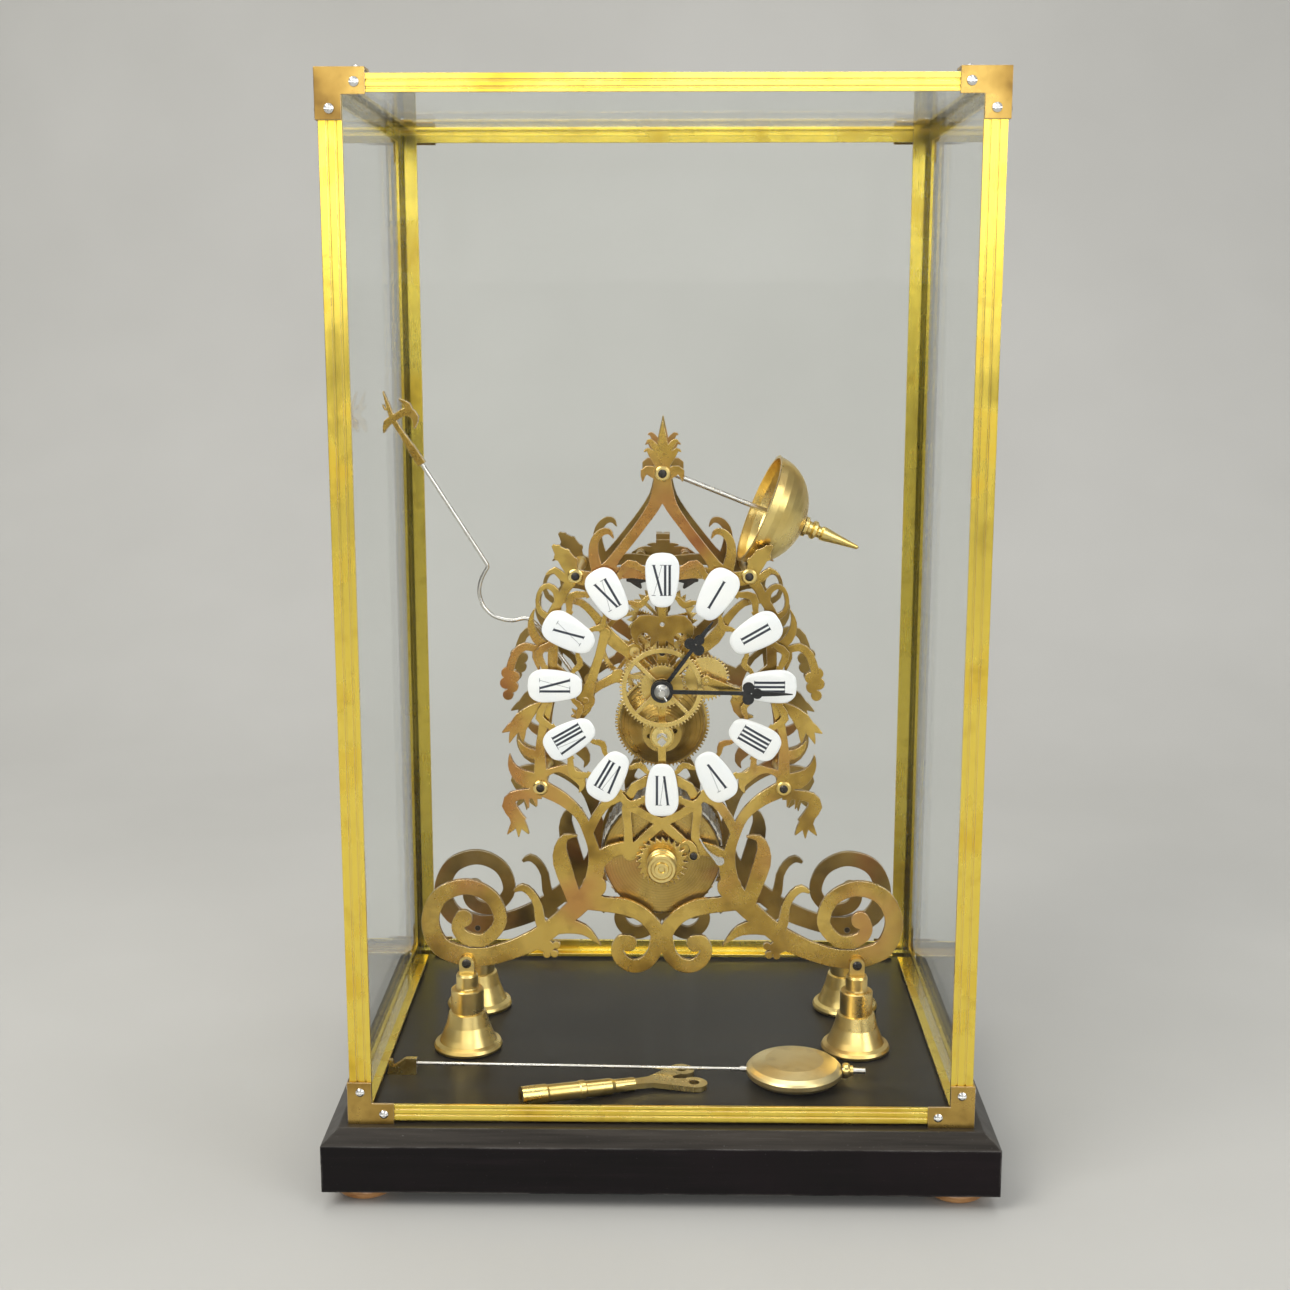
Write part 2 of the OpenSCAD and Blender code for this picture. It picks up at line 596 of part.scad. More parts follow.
// Heights of the two screws of the front cock, whose heads lie flush in it
COCK_SCREWS = [202, 227];
cock_screw_r = 1.5;
cock_screw_y = yff - cock_t + 0.8;
module front_cock() {
  color(brass) difference() {
    slab(yff - cock_t, yff) joined() mirrored() {
      stroke([[0, 229, 4], [0, 222, 3.8], [0, 214, 4.4], [0, 206, 3.6], [0, 198.6, 5]]);
      difference() {
        union() {
          stroke([[0, 215, 8.4], [-4, 215.4, 9.4], [-9.4, 215.6, 9.4], [-12.6, 212.8, 5.8],
                  [-12.8, 209.6, 3], [-11.4, 207, 1.8], [-9.8, 205.9, 0.6]]);
          stroke([[-1.5, 213, 6], [-4, 208.4, 3.6], [-5.6, 204.8, 0.6]]);
          spot([-8.6, 214], 5.2);
        }
        spot([-8.6, 208.8], 3);
      }
    }
    bar(escape, train_r + play, yff - 5, yff + 1);
    for (z = COCK_SCREWS) {
      bar([0, z], 0.9, yff - 5, yff + 1);
      bar([0, z], cock_screw_r, yff - 5, cock_screw_y);
    }
  }
}
// Bar in front of the minute pinion, on a post beside the minute wheel
minute_cock_y = yff - 10.5;
cock_post = [35.4, 184.4];
module minute_cock() {
  color("gold") difference() {
    union() {
      slab(minute_cock_y, minute_cock_y + 1.2) joined() {
        stroke([[minute_axis[0], minute_axis[1], 4], [cock_post[0], cock_post[1], 4.4]], 1);
        spot(minute_axis, 2.4);
        spot(cock_post, 2.6);
      }
      bar(cock_post, 1.8, minute_cock_y + 0.6, yff);
    }
    bar(minute_axis, 0.8 + play, minute_cock_y - 1, yff - 8);
  }
}
// Cock behind the back plate, with the pallet pivot and the suspension block
cock_y = ybb + 9;
module back_cock() {
  color(old_brass) difference() {
    union() {
      slab(cock_y, cock_y + cock_t) joined() mirrored() {
        stroke([[0, 239.4, 9], [-6, 242.6, 6], [-12, 242.4, 5], [-17.6, 240.4, 0.6]]);
        stroke([[-1, 242, 5], [-3, 246, 3], [-8, 246.4, 0.6]]);
        stroke([[0, 240, 8], [0, 249, 7]], 1);
      }
      for (s = [-1, 1]) bar([11.4 * s, 241.8], 2.4, ybb, cock_y + 0.2);
      translate([-3.5, cock_y + 0.2, z0 + 244]) cube([7, 9, 8]);
    }
    bar(pallet, train_r + play, ybb, cock_y + cock_t + 1);
    translate([-0.4, cock_y + cock_t + 2, z0 + 243]) cube([0.8, 10, 10]);
    for (s = [-1, 1]) bar([11.4 * s, 241.8], 1, ybb - 1, cock_y + cock_t + 1);
  }
}
module movement_screws() {
  color(dark) {
    for (z = COCK_SCREWS) {
      slotted_head([0, z], cock_screw_r, cock_screw_y, 0.8, z);
      bar([0, z], 0.9, cock_screw_y, yff);
    }
    for (s = [-1, 1]) {
      mirror([0, 1, 0]) slotted_head([11.4 * s, 241.8], 1.9, -cock_y - cock_t, 1, 40 * s);
      bar([11.4 * s, 241.8], 1, ybb, cock_y + cock_t);
    }
    slotted_head(click_axis, 1.9, yff - 2.6, 1, 35);
    bar(click_axis, 1.3, yff - 2.6, yff);
  }
}
ratchet_n = 24;
ratchet_r = 13;
module setup_ratchet() {
  color(brass) difference() {
    slab(yff - 2.2, yff - 0.2) translate(drum)
      polygon(saw_points(ratchet_n, ratchet_r, ratchet_r - 2.8, 0.12));
    bar(drum, drum_r - 0.5, yff - 4, yff + 1);
  }
}
// Click whose tip rests just off the teeth
module ratchet_click() {
  color(brass) difference() {
    slab(yff - 2.2, yff - 0.4) {
      spot(click_axis, 2.6);
      stroke([[15.8, 101, 4.2], [15.4, 104.6, 3.2], [13, 107.6, 2.2], [9.9, 107, 0.8]]);
    }
    bar(click_axis, 1.3 + play, yff - 4, yff + 1);
  }
}
module click_spring() {
  color(steel) slab(yff - 1.6, yff) {
    stroke([[28, 98, 3.4], [24, 101.4, 1.2], [21, 105, 0.8], [18.6, 109.4, 0.6]]);
    spot([28.5, 97.8], 2.2);
  }
}

// ---------- power: spring barrel, chain, fusee ----------

drum_y0 = yf + 4;
drum_y1 = yb - 7;
drum_radius = 29;
module barrel_arbor() {
  color(steel) {
    bar(drum, drum_r, yff - 0.2, ybb);
    bar(drum, drum_r - 0.5, yff - 8, yff);
    bar(drum, 5, drum_y0 + 3, drum_y1 - 3);
  }
}
module ratchet_knob() {
  y = yff - 2.2;
  color("gold") turned(drum, [[drum_r - 0.5, y], [6.4, y], [7.2, y - 0.8], [7.2, y - 2.2], [5.8, y - 3],
    [5.8, y - 4], [7.1, y - 5], [7.1, y - 6.4], [5.9, y - 7.2], [5.9, y - 8.2], [7.3, y - 9.4], [7.3, y - 11],
    [6.6, y - 12], [5.4, y - 12], [5, y - 11.4], [3.6, y - 11.4], [3.2, y - 12.4], [1.8, y - 12.4],
    [1.4, y - 11.6], [0, y - 11.6], [0, y - 5.8], [drum_r - 0.5, y - 5.8]]);
}
module barrel() {
  wall = 1.6;
  rim = 2.4;
  r = drum_r + 0.06;
  color(old_brass) turned(drum, [
    [r, drum_y0], [drum_radius - 0.6, drum_y0], [drum_radius, drum_y0 + 0.6],
    [drum_radius, drum_y1 - wall], [drum_radius + rim, drum_y1 - wall],
    [drum_radius + rim, drum_y1], [r, drum_y1], [r, drum_y1 - wall],
    [drum_radius - wall, drum_y1 - wall], [drum_radius - wall, drum_y0 + wall], [r, drum_y0 + wall]]);
}
// Coiled mainspring, wound outward from the arbor to the barrel wall
module mainspring() {
  turns = 7;
  step = 15;
  r0 = 6.4;
  pitch = (drum_radius - 2.4 - r0) / turns;
  color(dark) slab(drum_y0 + 2.6, drum_y1 - 2.6) translate(drum)
    stroke([for (a = [0:step:360 * turns]) let(v = polar(r0 + pitch * a / 360, a)) [v[0], v[1], 0.5]], 1);
}
// Turns of chain lying side by side on the barrel
module fusee_chain() {
  link = 1.5;
  y0 = drum_y0 + 2.2;
  turns = 15;
  r = drum_radius;
  color(steel) for (i = [0:turns - 1]) {
    y = y0 + i * (link + 0.35);
    turned(drum, [[r, y], [r + 1.1, y], [r + 1.6, y + 0.4], [r + 1.6, y + link - 0.4], [r + 1.1, y + link],
                  [r, y + link]]);
  }
}
// Grooved cone: its radius grows from the small end toward the great wheel
fusee_y0 = yf + 4;
fusee_y1 = yb - 17;
fusee_small = 9.4;
fusee_big = 21;
fusee_turns = 8;
function fusee_at(t) = fusee_small + (fusee_big - fusee_small) * (0.35 * t + 0.65 * t * t);
module fusee_cone() {
  depth = fusee_y1 - fusee_y0 - 4;
  groove = 0.9;
  color(old_brass) difference() {
    turned(fusee, concat(
      [[fusee_r, fusee_y0], [fusee_small, fusee_y0], [fusee_small, fusee_y0 + 2]],
      [for (i = [0:fusee_turns - 1], k = [0, 1, 2])
        let(t = (i + k / 3) / fusee_turns)
        [fusee_at(t) - (k == 1 ? groove : 0) + (k == 0 ? 0.3 : 0), fusee_y0 + 2 + depth * t + k * 0.1]],
      [[fusee_big, fusee_y0 + 2.4 + depth], [fusee_big + 0.4, fusee_y1], [10, fusee_y1],
       [10, fusee_y1 + 1.6], [fusee_r, fusee_y1 + 1.6]]));
    for (s = [-1, 1]) bar(fusee + 6.4 * [cos(12), sin(12)] * s, 1.2, fusee_y0 - 1, fusee_y0 + 3);
  }
}
square_y = yff - 11;
module fusee_arbor() {
  side = 3.3;
  color(steel) {
    bar(fusee, fusee_r, yff - 2.5, ybb);
    translate([fusee[0], square_y, z0 + fusee[1]]) rotate([-90, 45, 0])
      translate([-side / 2, -side / 2, 0]) cube([side, side, 9]);
  }
}
great_y = fusee_y1 + 2;
module great_wheel() {
  color(brass) difference() {
    union() {
      slab(great_y, great_y + 2.4) translate(fusee) crossed_wheel(great_n, m_great, 90, 4.2, 8, 5, 4, 18);
      bar(fusee, 5, great_y, great_y + 4);
    }
    bar(fusee, fusee_r + play, great_y - 1, great_y + 6);
  }
}

// ---------- going train and escapement ----------

centre_y = great_y + 6;
third_y = yf + 15;
escape_y = yf + 7;
module centre_arbor() {
  color(steel) {
    bar(dial, centre_r, yff - 21, ybb);
    bar(dial, 1.9, great_y + 5, centre_y + 3.4);
    slab(great_y - 1.4, great_y + 4.4) translate(dial) gear(8, m_great, 270 + 180 / 8, true);
  }
}
module centre_wheel() {
  color(brass) difference() {
    slab(centre_y, centre_y + 1.4) translate(dial)
      crossed_wheel(centre_n, m_centre, third_dir, 2.4, 4.4, 5, 2, 50);
    bar(dial, 1.9, centre_y - 1, centre_y + 4);
  }
}
module third_wheel() {
  color(brass) {
    bar(third, train_r, yff, ybb);
    slab(centre_y - 2, centre_y + 3) translate(third) gear(7, m_centre, third_dir + 180 + 180 / 7, true);
    slab(third_y, third_y + 1.3) translate(third)
      crossed_wheel(third_n, m_third, escape_dir, 2.2, 3.6, 5, 1.8, 20);
    bar(third, 2.2, third_y - 1.6, third_y + 3);
  }
}
module escape_arbor() {
  color(steel) {
    bar(escape, train_r, yff - cock_t, ybb);
    bar(escape, 1.6, escape_y - 1.4, escape_y + 3);
    slab(third_y - 2, third_y + 3) translate(escape)
      gear(7, m_third, escape_dir + 180 + 180 / 7, true);
  }
}
module escape_wheel() {
  root = escape_r - 2.8;
  rim = 2;
  color(brass) difference() {
    slab(escape_y, escape_y + 1.2) translate(escape) {
      difference() {
        polygon(saw_points(escape_n, escape_r, root, 0.3));
        circle(root - rim, $fn = 64);
      }
      circle(3.2, $fn = 48);
      for (a = [0:60:300]) rotate(a + 15) translate([2.6, -0.8]) square([root - rim - 1.8, 1.6]);
    }
    bar(escape, 1.6, escape_y - 1, escape_y + 3);
  }
}
module pallet_arbor() {
  color(steel) {
    bar(pallet, train_r, yff, cock_y + cock_t);
    bar(pallet, 1.8, escape_y - 3, escape_y + 5);
  }
}
// Steel anchor: its nibs stay outside the escape wheel's tips at every swing
module anchor() {
  color(dark) difference() {
    slab(escape_y - 0.9, escape_y + 2.1) {
      spot(pallet, 3.8);
      mirrored() {
        stroke([[0, 238.4, 5], [-6, 238.2, 5], [-12, 236.6, 5.2], [-17.4, 235.6, 1]]);
        stroke([[-13.4, 236, 5], [-11.6, 233.6, 2.8], [-10.2, 231.8, 0.9]]);
      }
    }
    bar(pallet, 1.8, escape_y - 2, escape_y + 4);
  }
}
crutch_y = ybb + 3;
module crutch() {
  end_z = 176;
  color(steel) difference() {
    union() {
      slab(crutch_y, crutch_y + 1.6) {
        spot(pallet, 3.2);
        stroke([[0, pallet[1], 3.4], [0, pallet[1] - 8, 2], [0, end_z, 1.8]], 1);
      }
      for (s = [-1, 1]) translate([s * 2.2 - 0.6, crutch_y, z0 + end_z - 3]) cube([1.2, 12, 3]);
      translate([-2.8, crutch_y, z0 + end_z - 3]) cube([5.6, 1.6, 3]);
    }
    bar(pallet, train_r, crutch_y - 1, crutch_y + 3);
  }
}

// ---------- motion work and hands ----------

cannon_y = yff - 3.9;
hour_y = yff - 8;
hand_y = yff - 12;
pipe_r = 2.4;
module cannon_wheel() {
  color(brass) difference() {
    union() {
      slab(cannon_y, cannon_y + 1.4) translate(dial) gear(36, m_motion, minute_dir);
      bar(dial, pipe_r, hand_y - 4.4, cannon_y + 1);
    }
    bar(dial, centre_r + play, hand_y - 6, yff);
  }
}
module minute_wheel() {
  color(brass) {
    slab(cannon_y, cannon_y + 1.4) translate(minute_axis) gear(36, m_motion, minute_dir + 180 + 5);
    slab(hour_y - 1, cannon_y + 0.4) translate(minute_axis) gear(6, m_hour, minute_dir + 180, true);
    bar(minute_axis, 0.8, minute_cock_y, yff);
  }
}
module hour_wheel() {
  color(brass) difference() {
    union() {
      slab(hour_y, hour_y + 1.2) translate(dial)
        crossed_wheel(72, m_hour, minute_dir + 2.5, 2.2, 4.6, 4, 1.8, 45);
      bar(dial, 3.8, hand_y - 0.8, hour_y + 1.2);
    }
    bar(dial, pipe_r + play, hand_y - 3, hour_y + 3);
  }
}
// Hand with a trefoil at distance tre and its tip at length reach, pointing up before it is turned
module hand_outline(tre, reach, lobe) {
  joined() {
    stroke([[0, 4, 2], [0, tre - 3, 1.8], [0, tre + 1, 3]], 1);
    for (s = [-1, 1]) spot([s * lobe * 0.95, tre], lobe);
    spot([0, tre + 1.5 * lobe], lobe * 0.9);
    stroke([[0, tre + 1.5 * lobe, 2.6], [0, (tre + reach) / 2 + lobe, 1.8], [0, reach, 0.4]], 1);
    spot([0, 0], 5.4);
  }
}
module hour_hand() {
  color([0.05, 0.05, 0.05]) difference() {
    slab(hand_y - 0.8, hand_y) translate(dial) rotate(-hour_at) hand_outline(26, 41, 2.7);
    bar(dial, 3.8, hand_y - 3, hand_y + 3);
  }
}
module minute_hand() {
  color([0.05, 0.05, 0.05]) difference() {
    slab(hand_y - 4.4, hand_y - 3.6) translate(dial) rotate(-minute_at) hand_outline(41, 62, 2.8);
    bar(dial, pipe_r, hand_y - 6, hand_y);
  }
}
module hand_collet() {
  y = hand_y - 4.4;
  bore = centre_r + play;
  color(steel) turned(dial,
    [[bore, y], [3.6, y], [3.6, y - 0.7], [2.6, y - 1.5], [bore, y - 1.7]]);
}

// ---------- striking ----------

wire_y = yf + 8;
wire_r = 1;
WIRE = [[-38.5, 182.5], [-49.9, 198.2], [-57.4, 209.6], [-65.2, 216.4], [-74, 215.6], [-82, 217.8],
  [-87, 222.7], [-88.9, 229.3], [-87.8, 235.8], [-84.4, 242.4], [-100, 267.2], [-117, 294.2]];
module wire_outline() {
  joined() stroke([for (v = WIRE) [v[0], v[1], 2 * wire_r]]);
}
module hammer_arbor() {
  color(brass) {
    bar(hammer, hammer_r, yff - 2, ybb);
    bar(hammer, 4, wire_y - 2.5, wire_y + 2.5);
    slab(yff - 1.7, yff - 0.3) {
      spot(hammer, 4.6);
      stroke([[-37, 178.5, 7], [-34.6, 187, 5], [-30.4, 200, 4.2], [-27.4, 211.6, 4.8]]);
      spot([-27.3, 211.4], 2.6);
      stroke([[-37, 176.6, 5], [-41, 172.4, 2.6], [-43.6, 174.2, 0.6]]);
    }
  }
}
module hammer_wire() {
  color(steel) difference() {
    slab(wire_y - wire_r, wire_y + wire_r) wire_outline();
    bar(hammer, 4, wire_y - 3, wire_y + 3);
  }
}
// Halberd head: a spear tip, a hooked blade to the left and a beak to the right
module hammer_head() {
  t = 2;
  color(brass) difference() {
    slab(wire_y - t, wire_y + t) {
      stroke([[-115.2, 291.4, 4], [-119.4, 298, 3.8], [-124.4, 306, 2.4], [-128.4, 312.6, 2.4],
              [-130.6, 319, 1.8], [-132.9, 326, 0.5]]);
      stroke([[-130.4, 318, 1.6], [-132, 317.6, 1.2], [-133.2, 319.8, 0.5]]);
      stroke([[-133, 306.4, 0.5], [-131.4, 311, 3.4], [-127, 314, 3.2], [-121.6, 316.6, 4],
              [-117.8, 313.6, 3.4], [-118.4, 308.6, 0.5]]);
      stroke([[-120.6, 315.8, 4], [-121.6, 319.6, 3], [-125.4, 322.4, 0.5]]);
    }
    slab(wire_y - wire_r, wire_y + wire_r) wire_outline();
  }
}
bell_tilt = 112;
bell_yaw = 4.5;
bell_y = 0.5;
bell_r = 27.2;
bell_mouth = 51.5;
bell_depth = 23;
// Turns its child, drawn upright on the top pillar, down to the right
module on_bell_axis() {
  translate([top_pillar[0], bell_y, z0 + top_pillar[1]]) rotate([0, bell_tilt, bell_yaw]) children();
}
module bell_rod() {
  color(steel) difference() {
    union() {
      on_bell_axis() translate([0, 0, 3]) cylinder(r = 1.3, h = bell_mouth + bell_depth - 3, $fn = 24);
      bar(top_pillar, 4.6, bell_y - 3, bell_y + 3);
    }
    bar(top_pillar, 2.7 + play, bell_y - 4, bell_y + 4);
  }
}
// Turned bell: hemispherical bowl with a rolled lip, and a stepped finial
module bell() {
  wall = 1.1;
  n = 10;
  function bowl(r, h) = [for (i = [0:n - 1]) [r * cos(i * 90 / n), h * sin(i * 90 / n)]];
  outer = bowl(bell_r, bell_depth);
  inner = bowl(bell_r - wall, bell_depth - wall);
  top = bell_depth;
  color(brass) on_bell_axis() translate([0, 0, bell_mouth]) rotate_extrude($fn = 96)
    polygon(concat([[bell_r + 0.5, -0.6]], outer,
      [[1.3 + wall, top], [5, top], [5, top + 1.6], [3.6, top + 2.4], [3.4, top + 4], [4.6, top + 5],
       [4.6, top + 6.4], [3, top + 7.6], [2.8, top + 9], [3.6, top + 10], [3.4, top + 12],
       [2.2, top + 20], [1, top + 29], [0, top + 30], [0, top + 0.1], [1.3, top + 0.1],
       [1.3, top - wall]],
      [for (i = [n - 1:-1:0]) inner[i]], [[bell_r - wall, -0.6]]));
}

// ---------- loose pieces on the base ----------

bob_r = 23;
bob_t = 11;
pend_y = -57;
pend_z = bob_t / 2;
bob_x = 64;
hook_x = -131.2;
// Puts its child, drawn along +X from the hook, where the pendulum lies
module pendulum_frame() {
  translate([hook_x, pend_y + 2.4, z0 + pend_z]) rotate([0, 0, -1.6]) children();
}
rod_r = 0.8;
thread_r = 1.4;
bob_at = bob_x - hook_x;
module pendulum_rod() {
  color(steel) pendulum_frame() {
    translate([9, 0, 0]) rotate([0, 90, 0]) cylinder(r = rod_r, h = bob_at - 9, $fn = 24);
    translate([bob_at - 26, 0, 0]) rotate([0, 90, 0]) cylinder(r = thread_r, h = 60, $fn = 24);
    rotate([90, 0, 0]) translate([0, 0, -1.6]) linear_extrude(3.2)
      polygon([[13, -pend_z], [13, 2.6], [7.6, 2.6], [1.6, -1.6], [1.2, 1.2], [-0.4, 2], [-0.6, -2],
               [-1.6, -pend_z]]);
  }
}
module pendulum_bob() {
  color(brass) pendulum_frame() difference() {
    translate([bob_at, 0, 0]) rotate_extrude($fn = 96)
      polygon([[0, -bob_t / 2], [14, -bob_t / 2 + 0.3], [20.4, -3.4], [bob_r - 0.8, -2], [bob_r, -1],
               [bob_r, 1], [bob_r - 0.8, 2], [20.4, 3.4], [14, bob_t / 2 - 0.3], [0, bob_t / 2]]);
    translate([bob_at - 30, 0, 0]) rotate([0, 90, 0]) cylinder(r = thread_r + play, h = 60, $fn = 24);
  }
}
module rating_nut() {
  color(brass) pendulum_frame() translate([bob_at + bob_r + 0.1, 0, 0]) rotate([0, 90, 0])
    rotate_extrude($fn = 48)
      polygon([[thread_r + play, 0], [3.2, 0], [3.6, 0.8], [3.6, 2.4], [3.2, 3.2], [2.4, 3.6], [2.4, 5],
               [thread_r + play, 5]]);
}
key_r = 4.5;
// The key rests on its shank and on the end of its bow
key_z = 6.4;
key_tilt = 3.235;
module winding_key() {
  bow = 2.6;
  color("gold") translate([-64.7, -93.1, z0 + key_z]) rotate([0, key_tilt, 22]) {
    difference() {
      rotate([0, 90, 0]) rotate_extrude($fn = 48)
        polygon([[0, 0], [key_r, 0], [key_r, 12], [4.1, 13], [4.1, 28], [4.4, 28.5], [4.4, 31], [3.9, 31.5],
                 [3.9, 44], [3.2, 46], [3.2, 56], [0, 60]]);
      translate([-1, -1.7, -1.7]) cube([16, 3.4, 3.4]);
    }
    difference() {
      translate([0, 0, -bow / 2]) linear_extrude(bow) joined() {
        stroke([[50, 0, 6], [62, 0, 7], [70, 0, 9], [76, 0, 7]]);
        for (s = [-1, 1]) {
          stroke([[66, 0, 8], [75, s * 5, 8], [83, s * 8.4, 10], [87, s * 8, 8]]);
          translate([84, s * 8]) circle(6, $fn = 32);
        }
      }
      for (s = [-1, 1]) translate([83.6, s * 8, -5]) cylinder(r = 2.6, h = 10, $fn = 32);
    }
  }
}

base_board();
bun_feet();
case_posts();
case_top_rails();
case_bottom_rails();
corner_brackets();
bracket_screws();
glass_front();
glass_back();
glass_sides();
glass_top();
front_plate();
back_plate();
plate_pillars();
pillar_washers();
pillar_screws();
clock_feet();
foot_screws();
front_bushes();
rear_bushes();
chapter_ring();
cartouches();
front_cock();
minute_cock();
back_cock();
movement_screws();
click_spring();
ratchet_click();
setup_ratchet();
barrel_arbor();
ratchet_knob();
barrel();
mainspring();
fusee_chain();
fusee_cone();
fusee_arbor();
great_wheel();
centre_arbor();
centre_wheel();
third_wheel();
escape_arbor();
escape_wheel();
pallet_arbor();
anchor();
crutch();
cannon_wheel();
minute_wheel();
hour_wheel();
hour_hand();
minute_hand();
hand_collet();
hammer_arbor();
hammer_wire();
hammer_head();
bell_rod();
bell();
pendulum_rod();
pendulum_bob();
rating_nut();
winding_key();
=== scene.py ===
"""Looks of the skeleton clock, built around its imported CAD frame. Units are metres."""
import json
import math

import bpy
import bmesh
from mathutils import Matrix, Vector


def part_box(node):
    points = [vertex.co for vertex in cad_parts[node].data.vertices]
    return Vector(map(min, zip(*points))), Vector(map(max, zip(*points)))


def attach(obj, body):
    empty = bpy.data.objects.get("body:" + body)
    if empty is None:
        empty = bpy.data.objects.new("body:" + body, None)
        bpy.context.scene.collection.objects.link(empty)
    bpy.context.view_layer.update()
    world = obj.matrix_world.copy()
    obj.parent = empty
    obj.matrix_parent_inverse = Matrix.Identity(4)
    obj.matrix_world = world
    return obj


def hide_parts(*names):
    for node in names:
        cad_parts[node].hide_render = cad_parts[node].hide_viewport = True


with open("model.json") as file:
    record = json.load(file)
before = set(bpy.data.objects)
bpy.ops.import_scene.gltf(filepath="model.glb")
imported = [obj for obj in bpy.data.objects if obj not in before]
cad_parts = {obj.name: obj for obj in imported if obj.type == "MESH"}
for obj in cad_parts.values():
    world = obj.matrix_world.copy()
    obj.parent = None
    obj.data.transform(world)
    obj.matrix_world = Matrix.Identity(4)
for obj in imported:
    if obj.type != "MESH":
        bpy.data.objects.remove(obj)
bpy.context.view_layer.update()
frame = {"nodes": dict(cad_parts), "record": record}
MM = 0.001

# ---------------------------------------------------------------- places taken from the frame


def mid(node):
    """Middle of a node's box."""
    low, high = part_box(node)
    return [(a + b) / 2 for a, b in zip(low, high)]


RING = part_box("cartouches")
DIAL_X, _, DIAL_Z = mid("cartouches")
DIAL_R = (RING[1][0] - RING[0][0]) / 2
ENAMEL_BACK = RING[1][1]
ENAMEL_FRONT = RING[0][1]
DRUM = mid("barrel")
# Length of the hook block at the end of the pendulum rod, and the fusee's plain front and rear ends
HOOK_LENGTH = 14.5 * MM
FUSEE_NOSE, FUSEE_RIM = 2 * MM, 3.6 * MM

# ---------------------------------------------------------------- node helpers


class Paint:
    """A material's node tree, with short calls for the nodes used here."""

    def __init__(self, name):
        self.material = bpy.data.materials.new(name)
        self.material.use_nodes = True
        self.tree = self.material.node_tree
        self.tree.nodes.clear()
        self.out = self.node("ShaderNodeOutputMaterial")

    def node(self, kind, inputs=(), **settings):
        made = self.tree.nodes.new(kind)
        for key, value in settings.items():
            setattr(made, key, value)
        for key, value in dict(inputs).items():
            self.feed(made.inputs[key], value)
        return made

    def feed(self, socket, value):
        if isinstance(value, bpy.types.NodeSocket):
            self.tree.links.new(value, socket)
        elif isinstance(value, (tuple, list)) and len(value) == 3 and socket.type == "RGBA":
            socket.default_value = (*value, 1)
        else:
            socket.default_value = value

    def place(self, scale=(1, 1, 1)):
        """Object position, stretched by scale."""
        coords = self.node("ShaderNodeTexCoord")
        return self.node("ShaderNodeMapping", {"Vector": coords.outputs["Object"], "Scale": scale}).outputs[0]

    def noise(self, scale, detail=4, rough=0.55, at=None):
        vector = at if at is not None else self.place()
        return self.node("ShaderNodeTexNoise", {"Vector": vector, "Scale": scale, "Detail": detail,
                                                "Roughness": rough}).outputs["Fac"]

    def steps(self, value, stops):
        """Colour ramp from (position, colour) stops."""
        ramp = self.node("ShaderNodeValToRGB", {"Fac": value})
        marks = ramp.color_ramp.elements
        while len(marks) < len(stops):
            marks.new(0.5)
        for mark, (position, colour) in zip(marks, stops):
            mark.position = position
            mark.color = (*colour, 1)
        return ramp.outputs[0]

    def range(self, value, low, high, to_low, to_high):
        made = self.node("ShaderNodeMapRange", {"Value": value, "From Min": low, "From Max": high,
                                                "To Min": to_low, "To Max": to_high})
        return made.outputs[0]

    def mix(self, fac, a, b, mode="MIX"):
        made = self.node("ShaderNodeMix", data_type="RGBA", blend_type=mode)
        self.feed(made.inputs[0], fac)
        self.feed(made.inputs[6], a)
        self.feed(made.inputs[7], b)
        return made.outputs[2]

    def math(self, kind, a, b=0.0):
        return self.node("ShaderNodeMath", {0: a, 1: b}, operation=kind).outputs[0]

    def bevel(self, radius):
        return self.node("ShaderNodeBevel", {"Radius": radius}, samples=6).outputs[0]

    def edge(self, radius, low=0.75, high=0.98):
        """1 on edges, where rubbed wear and a painted highlight go, 0 on open faces."""
        geometry = self.node("ShaderNodeNewGeometry")
        dot = self.node("ShaderNodeVectorMath", {0: self.bevel(radius), 1: geometry.outputs["Normal"]},
                        operation="DOT_PRODUCT").outputs["Value"]
        return self.range(dot, low, high, 1, 0)

    def bump(self, height, strength, distance, normal=None):
        made = self.node("ShaderNodeBump", {"Height": height, "Strength": strength, "Distance": distance})
        if normal is not None:
            self.feed(made.inputs["Normal"], normal)
        return made.outputs[0]

    def surface(self, **inputs):
        names = {key.replace("_", " ").title() if key != "ior" else "IOR": v for key, v in inputs.items()}
        shader = self.node("ShaderNodeBsdfPrincipled", names)
        self.tree.links.new(shader.outputs[0], self.out.inputs[0])
        return shader


def face_rings(paint, centre, pitch=1.37 * MM):
    """Wave that rises once for each ring of a turned face round a line along Y through centre."""
    split = paint.node("ShaderNodeSeparateXYZ", {0: paint.place()})
    dx = paint.math("SUBTRACT", split.outputs[0], centre[0])
    dz = paint.math("SUBTRACT", split.outputs[2], centre[2])
    square = paint.math("ADD", paint.math("MULTIPLY", dx, dx), paint.math("MULTIPLY", dz, dz))
    return paint.math("SINE", paint.math("MULTIPLY", paint.math("SQRT", square), 2 * math.pi / pitch))


def fusee_grooves(paint, node="fusee_cone", turns=8):
    """Wave that peaks in each groove of the fusee, from its small front end to its rim."""
    low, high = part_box(node)
    front, rim = low[1] + FUSEE_NOSE, high[1] - FUSEE_RIM
    depth = paint.node("ShaderNodeSeparateXYZ", {0: paint.place()}).outputs[1]
    turn = paint.range(depth, front, rim, 0, 2 * math.pi * turns)
    return paint.math("COSINE", paint.math("SUBTRACT", turn, 2 * math.pi / 3))


# ---------------------------------------------------------------- materials


